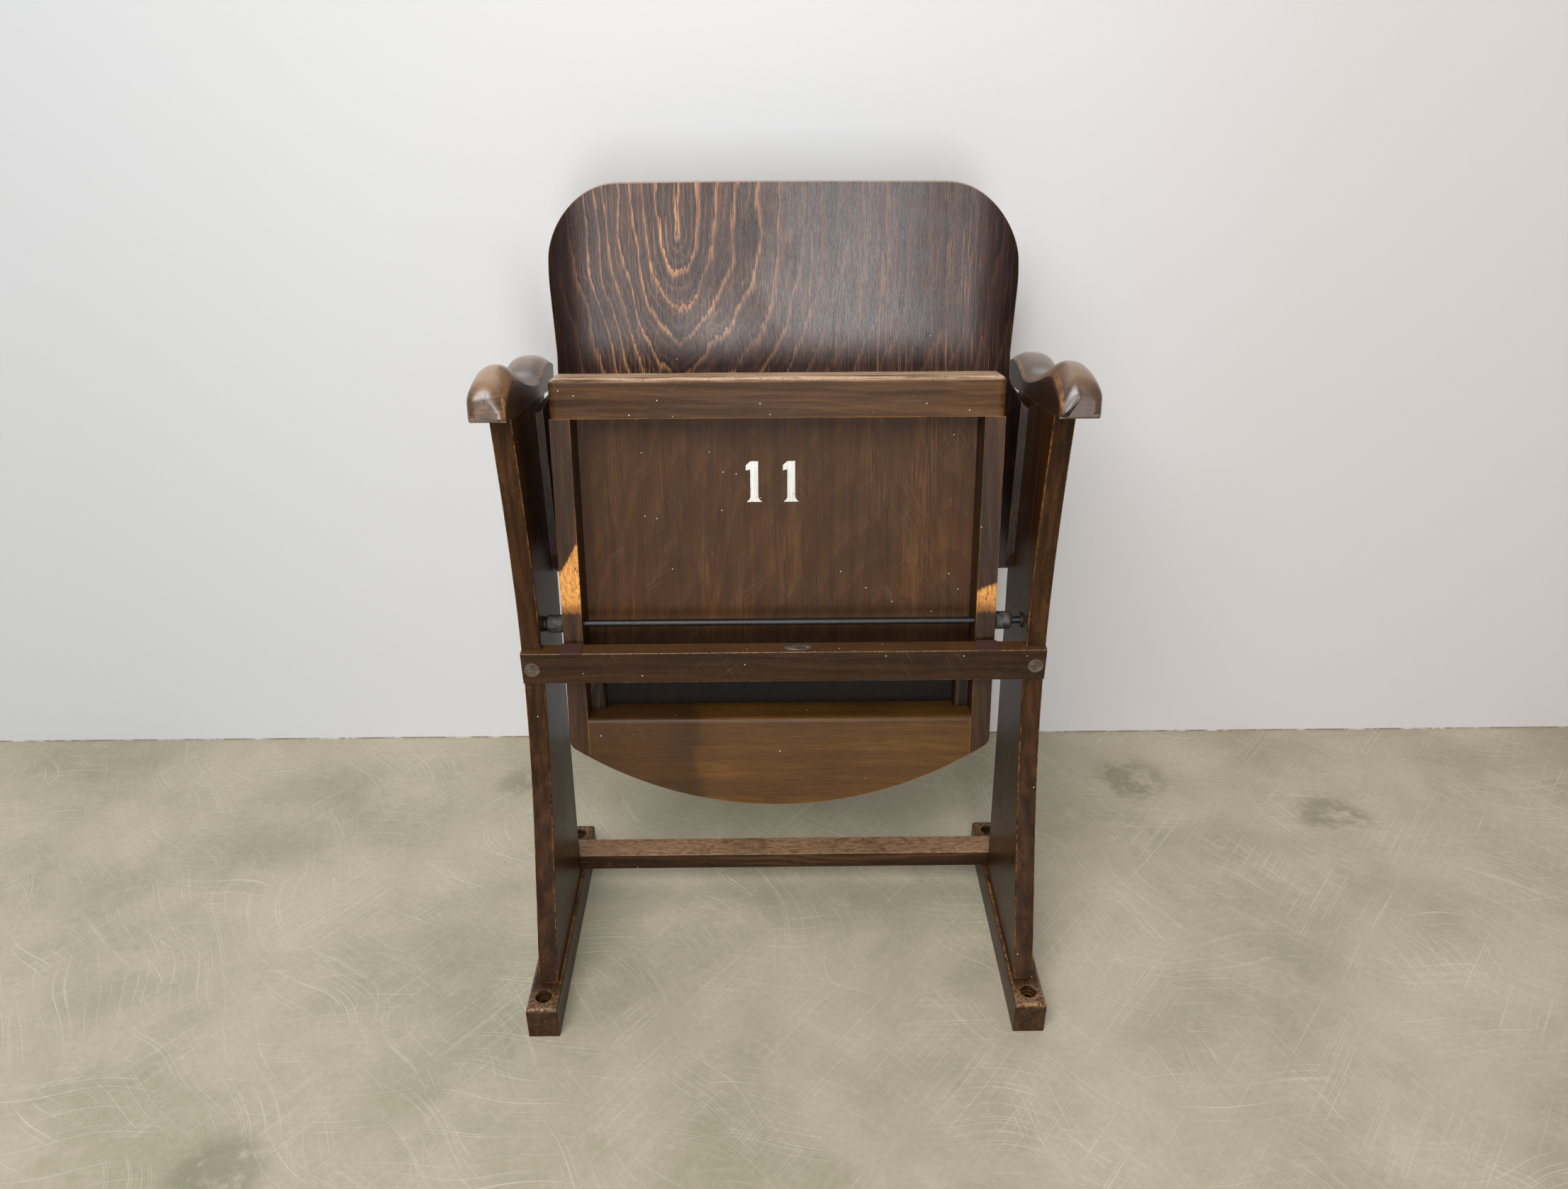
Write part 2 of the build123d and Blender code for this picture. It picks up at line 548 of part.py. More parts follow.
def bush(side):
    body = tube(BUSH_DIAMETER, ROD_DIAMETER + 2 * RUNNING_CLEARANCE, BUSH_LENGTH)
    rims = [e for e in body.edges().filter_by(GeomType.CIRCLE) if e.radius > ROD_DIAMETER]
    body = chamfer(rims, BUSH_CHAMFER)
    start = SEAT_HALF + SIDE_CLEARANCE
    if side < 0:
        start = -start - BUSH_LENGTH
    return Pos(SEAT_SHIFT + start, ROD_Y, ROD_Z) * body


# ---- backrest ---------------------------------------------------------------------------------
def sheet_section():
    """Section of the bent sheet, square to its lean: wing, bend, middle, bend, wing."""
    bend_x, bend_y = bend_centre()
    turn = math.atan2(bend_x, bend_y + SHEET_HOLLOW_RADIUS)
    half_turn = (math.pi / 2 + turn) / 2
    front_y = bend_y - CUT

    def surface(grow):
        radius = SHEET_BEND + grow
        wing_x = bend_x + radius
        join_x = bend_x + radius * math.sin(turn)
        join_y = bend_y + radius * math.cos(turn)
        mid_x = bend_x + radius * math.sin(half_turn)
        mid_y = bend_y + radius * math.cos(half_turn)
        return [
            Line((-wing_x, front_y), (-wing_x, bend_y)),
            ThreePointArc((-wing_x, bend_y), (-mid_x, mid_y), (-join_x, join_y)),
            ThreePointArc((-join_x, join_y), (0, grow), (join_x, join_y)),
            ThreePointArc((join_x, join_y), (mid_x, mid_y), (wing_x, bend_y)),
            Line((wing_x, bend_y), (wing_x, front_y)),
        ]

    inner_x = bend_x + SHEET_BEND
    outer_x = inner_x + SHEET_THICK
    ends = [Line((side * inner_x, front_y), (side * outer_x, front_y)) for side in (-1, 1)]
    return make_face(surface(0.0) + surface(SHEET_THICK) + ends)


def sheet_front_outline():
    """Front view of the sheet: arched lower edge, wings, waist above the armrests, round top."""
    def right_half(shift):
        side = PANEL_INNER + 4 * WING_TOP_ROUND
        arch = PANEL_INNER - ARCH_INSET
        arch_z = SHEET_BOTTOM_Z + ARCH_RISE
        waist = PANEL_INNER - WAIST_INSET + shift
        shoulder_z = SHEET_WAIST_Z + SHEET_SHOULDER * SHEET_CROWN
        corners = [
            (0, arch_z), (arch, arch_z), (arch + 4, SHEET_BOTTOM_Z), (side, SHEET_BOTTOM_Z),
            (side, WING_TOP_Z), (waist + 1, WING_TOP_Z), (waist, SHEET_WAIST_Z),
            (PANEL_INNER - SHEET_INSET + shift, shoulder_z),
            (PANEL_INNER - SHEET_TOP_INSET + shift, SHEET_TOP_Z), (0, SHEET_TOP_Z),
        ]
        corner = SHEET_TOP_CORNER * SHEET_CROWN
        radii = [ARCH_ROUND, 1.0, 1.0, 1.0, WING_TOP_ROUND, 20.0, SHEET_SIDE_ROUND, corner]
        return make_face([FilletPolyline(*corners, radius=radii), Line(corners[-1], corners[0])])

    return right_half(SHEET_SHIFT) + mirror(right_half(-SHEET_SHIFT), about=Plane.YZ)


def wing_side_outline():
    """Side view of the sheet: upright front edge of the wings with a round lower corner."""
    high = SHEET_TOP_Z + 50.0
    back = SHEET_MIDDLE_Y + CUT
    low = SHEET_BOTTOM_Z
    edge = FilletPolyline((WING_FRONT_Y, high), (WING_FRONT_Y, low), (back, low), radius=WING_CORNER)
    return make_face([edge, Polyline((back, low), (back, high), (WING_FRONT_Y, high))])


def backrest():
    spare = 40.0
    height = SHEET_TOP_Z - SHEET_BOTTOM_Z + 3 * spare
    sheet = SHEET_PLACE * Pos(0, 0, -spare) * extrude(sheet_section(), height)
    sheet &= extrude(Plane.XZ * sheet_front_outline(), CUT, both=True)
    sheet &= extrude(Plane.YZ * wing_side_outline(), CUT, both=True)
    for place in BACK_SCREW_PLACES:
        hole = place * screw_hole(BACK_SCREW_HEAD, BACK_SCREW_SHANK, BACK_SCREW_LENGTH)
        sheet -= hole
        sheet -= mirrored(hole)
    return sheet


# ---- seat -------------------------------------------------------------------------------------
def tail_z(x):
    """Seat frame: the curved rear outline at a distance from the seat's middle."""
    return TAIL_RADIUS - SEAT_TAIL - math.sqrt(TAIL_RADIUS**2 - x**2)


def seat_outline():
    """The seat's plan, as a prism through its whole depth."""
    corner = (SEAT_HALF, tail_z(SEAT_HALF))
    plan = make_face([
        ThreePointArc((-corner[0], corner[1]), (0, -SEAT_TAIL), corner),
        Line(corner, (SEAT_HALF, SEAT_FRONT)),
        Line((SEAT_HALF, SEAT_FRONT), (-SEAT_HALF, SEAT_FRONT)),
        Line((-SEAT_HALF, SEAT_FRONT), (-corner[0], corner[1])),
    ])
    plan = fillet(plan.vertices().sort_by(Axis.Y)[:2], TAIL_CORNER)
    return extrude(Plane.XZ * plan, CUT, both=True)


RAIL_DOWEL_PLACES = [
    Pos(RAIL_MIDDLE, SEAT_UNDERSIDE + share * RAIL_DEPTH, FRONT_RAIL_START) for share in (0.3, 0.7)
]
BLOCK_DOWEL_PLACES = [
    Pos(RAIL_INNER, SEAT_UNDERSIDE + RAIL_DEPTH / 2, -BLOCK_START - step) * Rot(Y=90)
    for step in (BLOCK_DOWEL_INSET, BLOCK_DOWEL_INSET + BLOCK_DOWEL_PITCH)
]


def seat_side_rail():
    rail = span((RAIL_INNER, SEAT_HALF), (SEAT_UNDERSIDE, PANEL_UNDERSIDE), (-SEAT_TAIL, FRONT_RAIL_START))
    rail &= seat_outline()
    rail -= Pos(RAIL_INNER - 1, 0, 0) * ALONG_X * extrude(
        Circle(SLEEVE_DIAMETER / 2 + HOLE_CLEARANCE / 2), RAIL_WIDTH + 2)
    for place in RAIL_DOWEL_PLACES:
        rail -= place * dowel_hole(DOWEL_IN_RAIL, DOWEL_IN_NOSE)
    for place in BLOCK_DOWEL_PLACES:
        rail -= place * dowel_hole(DOWEL_IN_BLOCK, DOWEL_IN_SIDE)
    return rail


def rail_sleeve():
    return Pos(RAIL_INNER, 0, 0) * tube(SLEEVE_DIAMETER, ROD_DIAMETER + 2 * RUNNING_CLEARANCE, RAIL_WIDTH)


def seat_front_rail():
    rail = span((-SEAT_HALF, SEAT_HALF), (SEAT_UNDERSIDE, SEAT_TOP), (FRONT_RAIL_START, SEAT_FRONT))
    nose = rail.faces().sort_by(Axis.Z)[-1]
    ends = nose.edges().filter_by(Axis.Y)
    rail = fillet(ends, NOSE_END_ROUND)
    nose = rail.faces().sort_by(Axis.Z)[-1]
    rail = fillet(nose.edges().filter_by(Axis.X).sort_by(Axis.Y)[-1], NOSE_TOP_ROUND)
    nose = rail.faces().sort_by(Axis.Z)[-1]
    rail = fillet(nose.edges().filter_by(Axis.X).sort_by(Axis.Y)[0], NOSE_UNDER_ROUND)
    for place in RAIL_DOWEL_PLACES:
        hole = place * dowel_hole(DOWEL_IN_RAIL, DOWEL_IN_NOSE)
        rail -= hole
        rail -= mirrored(hole)
    return rail


def seat_panel():
    panel = span((-SEAT_HALF, SEAT_HALF), (PANEL_UNDERSIDE, SEAT_TOP), (-SEAT_TAIL - 1, FRONT_RAIL_START))
    return panel & seat_outline()


def weight_span(extra):
    near = -BLOCK_START - WEIGHT_INSET
    half = WEIGHT_LENGTH * SEAT_HALF
    return span(
        (-half - extra, half + extra),
        (PANEL_UNDERSIDE - WEIGHT_THICK - extra, PANEL_UNDERSIDE),
        (near - WEIGHT_WIDTH - extra, near + extra),
    )


def counterweight_block():
    block = span((-RAIL_INNER, RAIL_INNER), (SEAT_UNDERSIDE, PANEL_UNDERSIDE), (-SEAT_TAIL - 1, -BLOCK_START))
    block &= seat_outline()
    corners = block.faces().sort_by(Axis.Y)[-1].edges().filter_by(Axis.Z)
    block = fillet(corners, BLOCK_CORNER)
    top = block.faces().sort_by(Axis.Z)[-1]
    block = fillet(top.edges().filter_by(Axis.X).sort_by(Axis.Y)[0], BLOCK_ROUND)
    block -= weight_span(HOLE_CLEARANCE)
    for place in BLOCK_DOWEL_PLACES:
        hole = place * dowel_hole(DOWEL_IN_BLOCK, DOWEL_IN_SIDE)
        block -= hole
        block -= mirrored(hole)
    return block


def seat_corner_block():
    """Glue block along the corner of rail and seat panel."""
    block = span(
        (RAIL_INNER - GLUE_BLOCK_WIDTH, RAIL_INNER),
        (PANEL_UNDERSIDE - GLUE_BLOCK_DEPTH, PANEL_UNDERSIDE),
        (-BLOCK_START, GLUE_BLOCK_LENGTH - BLOCK_START),
    )
    free = block.edges().filter_by(Axis.Z).sort_by(Axis.X)[:2].sort_by(Axis.Y)[0]
    return chamfer(free, GLUE_BLOCK_CHAMFER)


# ---- assembly ---------------------------------------------------------------------------------
def write_frame():
    for side, half in (("right", lambda solid: solid), ("left", mirrored)):
        write(f"{side}_side_panel", half(side_panel()))
        write(f"{side}_foot", half(foot()))
        write(f"{side}_armrest", half(armrest()))
        write(f"{side}_pivot_socket", half(pivot_socket()))
    write("right_bush", bush(1))
    write("left_bush", bush(-1))
    write("right_landing_pad", landing_pad(1))
    write("left_landing_pad", landing_pad(-1))
    write("front_rail", front_rail())
    write("rear_stretcher", rear_stretcher())
    write("oval_plate", oval_plate())
    write("oval_plate_pins", plate_pins())
    write("pivot_rod", pivot_rod())
    write("backrest", backrest())


def write_fastenings():
    bar_screw = BAR_SCREW_PLACE * screw(BAR_SCREW_HEAD, BAR_SCREW_SHANK, BAR_SCREW_LENGTH)
    write("front_rail_screws", pair(bar_screw))
    stretcher_screw = STRETCHER_SCREW_PLACE * screw(
        STRETCHER_SCREW_HEAD, STRETCHER_SCREW_SHANK, STRETCHER_SCREW_LENGTH)
    write("stretcher_screws", pair(stretcher_screw))
    groups = [
        ("backrest_screws", BACK_SCREW_PLACES, screw(BACK_SCREW_HEAD, BACK_SCREW_SHANK, BACK_SCREW_LENGTH)),
        ("foot_screws", FOOT_SCREW_PLACES, screw(FOOT_SCREW_HEAD, FOOT_SCREW_SHANK, FOOT_SCREW_LENGTH)),
        ("armrest_dowels", ARM_DOWEL_PLACES, dowel(DOWEL_IN_PANEL, DOWEL_IN_ARM)),
    ]
    for name, places, piece in groups:
        right = [place * piece for place in places]
        write(name, Compound(children=right + [mirrored(solid) for solid in right]))


def write_seat():
    side_rail = seat_side_rail()
    sleeve = rail_sleeve()
    write("seat_right_rail", SEAT_PLACE * side_rail)
    write("seat_left_rail", SEAT_PLACE * mirrored(side_rail))
    write("right_rail_sleeve", SEAT_PLACE * sleeve)
    write("left_rail_sleeve", SEAT_PLACE * mirrored(sleeve))
    write("seat_front_rail", SEAT_PLACE * seat_front_rail())
    write("seat_panel", SEAT_PLACE * seat_panel())
    write("counterweight_block", SEAT_PLACE * counterweight_block())
    write("counterweight_bar", SEAT_PLACE * weight_span(0.0))
    write("seat_corner_blocks", SEAT_PLACE * pair(seat_corner_block()))
    groups = [
        ("seat_rail_dowels", RAIL_DOWEL_PLACES, dowel(DOWEL_IN_RAIL, DOWEL_IN_NOSE)),
        ("counterweight_dowels", BLOCK_DOWEL_PLACES, dowel(DOWEL_IN_BLOCK, DOWEL_IN_SIDE)),
    ]
    for name, places, piece in groups:
        right = [place * piece for place in places]
        write(name, SEAT_PLACE * Compound(children=right + [mirrored(solid) for solid in right]))


write_frame()
write_fastenings()
write_seat()
print(f"seat leans back {REST_LEAN:.2f} degrees tipped up and travels {TRAVEL:.2f} degrees")
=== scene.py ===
import json
import math

import bpy
from mathutils import Matrix, Vector

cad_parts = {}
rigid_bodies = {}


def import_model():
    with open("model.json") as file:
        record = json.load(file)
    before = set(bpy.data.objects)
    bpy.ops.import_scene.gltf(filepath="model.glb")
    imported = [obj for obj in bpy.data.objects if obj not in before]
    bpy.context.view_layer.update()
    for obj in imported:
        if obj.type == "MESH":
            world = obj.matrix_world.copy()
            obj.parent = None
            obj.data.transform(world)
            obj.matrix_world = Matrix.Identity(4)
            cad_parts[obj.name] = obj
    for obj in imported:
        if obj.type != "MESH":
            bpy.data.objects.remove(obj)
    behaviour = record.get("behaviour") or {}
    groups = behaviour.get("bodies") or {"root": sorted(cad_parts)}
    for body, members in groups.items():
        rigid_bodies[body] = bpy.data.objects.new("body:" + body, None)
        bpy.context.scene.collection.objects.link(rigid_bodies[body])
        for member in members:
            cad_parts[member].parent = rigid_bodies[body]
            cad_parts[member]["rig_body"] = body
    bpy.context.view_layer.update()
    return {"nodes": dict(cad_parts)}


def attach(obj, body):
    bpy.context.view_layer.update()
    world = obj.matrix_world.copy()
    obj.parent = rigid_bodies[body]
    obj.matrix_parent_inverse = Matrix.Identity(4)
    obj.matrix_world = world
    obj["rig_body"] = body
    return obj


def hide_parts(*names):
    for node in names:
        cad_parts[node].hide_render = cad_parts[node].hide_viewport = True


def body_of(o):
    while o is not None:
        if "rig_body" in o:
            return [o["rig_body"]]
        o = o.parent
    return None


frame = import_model()
NODES = frame["nodes"]
MM = 0.001

# Frames that the grain lies in, each as its origin in millimetres and its lean: the tipped-up seat
# leans back about the rod and stands a little off the middle, and the backrest leans back too.
SEAT_ORIGIN = (-4.7, 24.8, 414.6)
SEAT_LEAN = math.radians(10.57)
SHEET_FOOT = (0.0, 150.0, 430.0)
SHEET_LEAN = math.radians(9.0)
SHEET_UP = (0.0, math.sin(SHEET_LEAN), math.cos(SHEET_LEAN))
UPRIGHT = ((0.0, 0.0, 0.0), 0.0)
ON_SEAT = (SEAT_ORIGIN, SEAT_LEAN)
ON_SHEET = (SHEET_FOOT, SHEET_LEAN)

# ---- camera and view ----------------------------------------------------------------------------
PHOTO_WIDTH = 2212
FOCAL_PIXELS = 1650.0
SENSOR = 36.0
CAMERA_AT = Vector((-8.6, -1048.0, 1026.6)) * MM
LOOK = Vector((0.0074917, 0.8798606, -0.4751728))
RIGHT = Vector((0.9999379, -0.0105102, -0.003696))

# ---- floor, wall and light, in metres -----------------------------------------------------------
WALL_Y = 0.407
WALL_HEIGHT = 3.0
STAGE_HALF = 4.0
WALL_LEFT_SHADE = (0.585, 0.60, 0.625, 1.0)
WALL_COLOUR = (0.715, 0.72, 0.735, 1.0)
WALL_RIGHT_SHADE = (0.66, 0.625, 0.63, 1.0)
WALL_LINE = (0.16, 0.10, 0.06, 1.0)
WALL_LEFT_SHADE_TO = (-1000.0, 0.0)        # millimetres across, where the painted shade on the wall's left ends
WALL_RIGHT_SHADE_FROM = (0.0, 800.0)
WALL_LINE_HEIGHT = 3.0       # of the dark joint between wall and floor, in millimetres
FLOOR_COLOUR = (0.355, 0.325, 0.225, 1.0)
FLOOR_WORN = (0.505, 0.455, 0.345, 1.0)
FLOOR_SCRATCH = (0.80, 0.76, 0.63, 1.0)
FLOOR_STAIN = (0.16, 0.15, 0.085, 1.0)
SCRATCH_TURNS = (0.7, -0.5, 1.6, 2.3)
STAIN_SPACING = 260.0        # millimetres, like STAIN_SIZE
STAIN_SIZE = 60.0
SKY_COLOUR = (1.0, 0.985, 0.96, 1.0)
SKY_STRENGTH = 0.30
# Name, place, aim, size and watts.
LAMPS = (
    ("overhead", (-0.7, -2.1, 2.7), (0.0, 0.1, 0.5), (2.2, 1.6), 88.0),
    ("window", (0.08, -3.4, 0.86), (0.0, 0.2, 0.8), (0.45, 1.2), 38.0),
)

# ---- colours of the object, as the surface itself -----------------------------------------------
SHADE_BLACK = (0.006, 0.003, 0.0015, 1.0)
WALNUT_DEEP = (0.020, 0.0075, 0.0024, 1.0)
WALNUT = (0.036, 0.0145, 0.0050, 1.0)
RED_BROWN = (0.048, 0.019, 0.0058, 1.0)
PURPLE_DEEP = (0.030, 0.013, 0.010, 1.0)
PURPLE_BROWN = (0.062, 0.029, 0.022, 1.0)
PLY_DEEP = (0.040, 0.016, 0.0055, 1.0)
PLY_BROWN = (0.076, 0.032, 0.0105, 1.0)
PLY_LIGHT = (0.125, 0.056, 0.019, 1.0)
NOSE_BROWN = (0.085, 0.040, 0.016, 1.0)
GOLD_DEEP = (0.070, 0.030, 0.006, 1.0)
GOLD_BROWN = (0.105, 0.046, 0.0075, 1.0)
ARM_BROWN = (0.15, 0.068, 0.026, 1.0)
ARM_DARK = (0.080, 0.037, 0.017, 1.0)
VEIN = (0.46, 0.215, 0.095, 1.0)
VEIN_DIM = (0.12, 0.055, 0.020, 1.0)
BARE = (0.42, 0.17, 0.045, 1.0)
BARE_GOLD = (0.62, 0.30, 0.070, 1.0)
BARE_DARK = (0.17, 0.058, 0.008, 1.0)
TAN = (0.44, 0.26, 0.14, 1.0)
PALE_TAN = (0.60, 0.41, 0.27, 1.0)
RUBBED = (0.27, 0.115, 0.035, 1.0)
PAINT_WHITE = (0.76, 0.74, 0.70, 1.0)
SCRATCH = (0.34, 0.27, 0.19, 1.0)
DARK_STEEL = (0.045, 0.035, 0.028, 1.0)
DARK_STEEL_WORN = (0.30, 0.25, 0.20, 1.0)
BROWN_STEEL = (0.19, 0.155, 0.13, 1.0)
BROWN_STEEL_WORN = (0.40, 0.34, 0.29, 1.0)
PLATE_METAL = (0.42, 0.41, 0.38, 1.0)
PLATE_METAL_WORN = (0.62, 0.60, 0.56, 1.0)
ROD_BLACK = (0.012, 0.011, 0.011, 1.0)
ROD_CHIP = (0.30, 0.26, 0.22, 1.0)
RUBBER_BLACK = (0.018, 0.018, 0.017, 1.0)
RUBBER_DUST = (0.070, 0.067, 0.062, 1.0)
LEATHER_DARK = (0.030, 0.010, 0.008, 1.0)
LEATHER_RED = (0.13, 0.045, 0.030, 1.0)

# ---- surface ------------------------------------------------------------------------------------
COAT_ROUGH = 0.30            # of the varnish
COAT_IOR = 1.75
WEAR_WIDTH = 1.4             # radius in millimetres over which an arris is rubbed bare
ARRIS_SLANT = (0.52, 0.88)   # share of its length that the normal of an arris has along an axis


class Graph:
    """The node tree of one material. Each call adds one or more nodes and gives their output.

    A mask is a value from 0 to 1. Points and lengths are in millimetres.
    """

    def __init__(self, name):
        self.material = bpy.data.materials.new(name)
        self.material.use_nodes = True
        self.tree = self.material.node_tree
        self.tree.nodes.clear()

    def add(self, kind, inputs, output=0, **settings):
        node = self.tree.nodes.new("ShaderNode" + kind)
        for key, value in settings.items():
            setattr(node, key, value)
        for socket, value in inputs.items():
            if isinstance(value, bpy.types.NodeSocket):
                self.tree.links.new(value, node.inputs[socket])
            else:
                node.inputs[socket].default_value = value
        return node.outputs[output]

    def math(self, operation, *values, clamp=False):
        return self.add("Math", dict(enumerate(values)), operation=operation, use_clamp=clamp)

    def times(self, *factors):
        """The product of masks and numbers."""
        product = factors[0]
        for factor in factors[1:]:
            product = self.math("MULTIPLY", product, factor)
        return product

    def scaled(self, value, factor, start):
        """value * factor + start."""
        return self.math("MULTIPLY_ADD", value, factor, start)

    def vector(self, operation, first, second, output=0):
        return self.add("VectorMath", {0: first, 1: second}, output, operation=operation)

    def rise(self, value, low, high):
        """0 at low, 1 at high and smooth in between. low may be the larger of the two."""
        spread = {"Value": value, "From Min": low, "From Max": high}
        return self.add("MapRange", spread, interpolation_type="SMOOTHSTEP")

    def inside(self, value, low, high, soft):
        """1 between low and high, 0 outside, with an edge as wide as soft."""
        over = self.rise(value, low - soft, low + soft)
        return self.times(over, self.rise(value, high + soft, high - soft))

    def either(self, first, second):
        return self.math("MAXIMUM", first, second)

    def mix(self, factor, first, second, blend="MIX"):
        return self.add("Mix", {0: factor, 6: first, 7: second}, 2, data_type="RGBA", blend_type=blend)

    def dimmed(self, tone, amount):
        """The colour made lighter or darker by a factor."""
        grey = self.add("CombineColor", {0: amount, 1: amount, 2: amount})
        return self.mix(1.0, tone, grey, "MULTIPLY")

    def noise(self, point, detail=3.0, rough=0.55):
        sizes = {"Vector": point, "Scale": 1.0, "Detail": detail, "Roughness": rough}
        return self.add("TexNoise", sizes)

    def cells(self, point, scale):
        """The node of a pattern of cells, which gives the distance and a random colour of each."""
        node = self.tree.nodes.new("ShaderNodeTexVoronoi")
        self.tree.links.new(point, node.inputs["Vector"])
        node.inputs["Scale"].default_value = scale
        return node

    def stretch(self, point, x, y=None, z=None):
        """The point scaled along each axis, or by one factor along all three."""
        return self.vector("MULTIPLY", point, (x, x if y is None else y, x if z is None else z))

    def parts(self, point):
        """The three coordinates of a point."""
        node = self.tree.nodes.new("ShaderNodeSeparateXYZ")
        self.tree.links.new(point, node.inputs[0])
        return node.outputs[0], node.outputs[1], node.outputs[2]

    def place(self, origin, turn):
        """The point on the piece in millimetres, in a frame that leans back with the piece."""
        point = self.add("TexCoord", {}, "Object")
        point = self.vector("MULTIPLY", point, (1 / MM, 1 / MM, 1 / MM))
        point = self.vector("SUBTRACT", point, origin)
        if turn:
            spin = {"Vector": point, "Center": (0.0, 0.0, 0.0), "Angle": turn}
            point = self.add("VectorRotate", spin, rotation_type="X_AXIS")
        return point

    def along(self, point, order):
        """The same point as (across, depth, along the grain)."""
        axes = dict(zip("XYZ", self.parts(point)))
        return self.add("CombineXYZ", {slot: axes[axis] for slot, axis in enumerate(order)})

    def rounded(self, radius):
        """The normal as if every arris were rounded by the radius."""
        return self.add("Bevel", {"Radius": radius * MM}, samples=4)

    def worn_edges(self, radius, ragged):
        """1 on an arris, 0 on a flat face, broken up by the ragged noise."""
        face = self.add("NewGeometry", {}, "Normal")
        match = self.vector("DOT_PRODUCT", self.rounded(radius), face, "Value")
        edge = self.math("SUBTRACT", 1.0, match)
        torn = self.times(self.math("SUBTRACT", ragged, 0.5), 0.35)
        return self.rise(self.math("ADD", edge, torn), 0.05, 0.16)

    def arris(self, axis):
        """1 where the surface slants from the axis, as it does on a rounded arris."""
        facing = self.add("TexCoord", {}, "Normal")
        slant = self.math("ABSOLUTE", self.parts(facing)["XYZ".index(axis)])
        return self.inside(slant, *ARRIS_SLANT, 0.06)

    def specks(self, point, cell, size, share):
        """Round dots of one size, at most one in each cell, in a share of the cells."""
        near = self.cells(point, 1.0 / cell)
        chosen = self.parts(near.outputs["Color"])
        dot = self.rise(near.outputs["Distance"], size / cell, 0.5 * size / cell)
        return self.times(dot, self.rise(chosen[0], 1.0 - share, 1.02 - share))

    def scratches(self, point, turn, length, share):
        """Thin straight marks in one direction, in patches."""
        spin = {"Vector": point, "Center": (0.0, 0.0, 0.0), "Angle": turn}
        turned = self.add("VectorRotate", spin, rotation_type="Y_AXIS")
        lines = self.noise(self.stretch(turned, 1.9, 1.9, 1.0 / length), 1.0)
        patch = self.noise(self.stretch(turned, 0.02), 2.0)
        return self.times(self.rise(lines, 1.0 - share, 1.03 - share), self.rise(patch, 0.5, 0.62))

    def shader(self, colour, rough, height, relief, radius=0.7, metal=0.0, coat=0.0, specular=0.5):
        """The finished surface: a height of 1 stands relief millimetres high."""
        bump = {"Height": height, "Distance": relief * MM, "Normal": self.rounded(radius)}
        relieved = self.add("Bump", bump)
        surface = {
            "Base Color": colour, "Roughness": rough, "Metallic": metal,
            "Coat Weight": coat, "Coat Roughness": COAT_ROUGH, "Coat IOR": COAT_IOR,
            "Coat Normal": relieved, "Normal": relieved, "Specular IOR Level": specular,
        }
        return self.done(self.add("BsdfPrincipled", surface))

    def done(self, surface):
        node = self.tree.nodes.new("ShaderNodeOutputMaterial")
        self.tree.links.new(surface, node.inputs["Surface"])
        return self.material


# ---- wood ---------------------------------------------------------------------------------------
def growth_rings(g, grain, pith, taper, spacing, wander):
    """Saw-tooth that runs 0 to 1 across each growth ring of a board cut from a tapering trunk."""
    across, depth, along = g.parts(grain)
    side = g.math("SUBTRACT", across, pith[0])
    deep = g.math("SUBTRACT", depth, pith[1])
    radius = g.math("SQRT", g.math("ADD", g.math("POWER", side, 2.0), g.math("POWER", deep, 2.0)))
    cone = g.math("ADD", radius, g.times(along, taper))
    drift = g.noise(g.stretch(grain, 0.011, 0.011, 0.0035), 3.0)
    count = g.math("ADD", g.math("DIVIDE", cone, spacing), g.times(drift, wander))
    return g.math("FRACT", count)


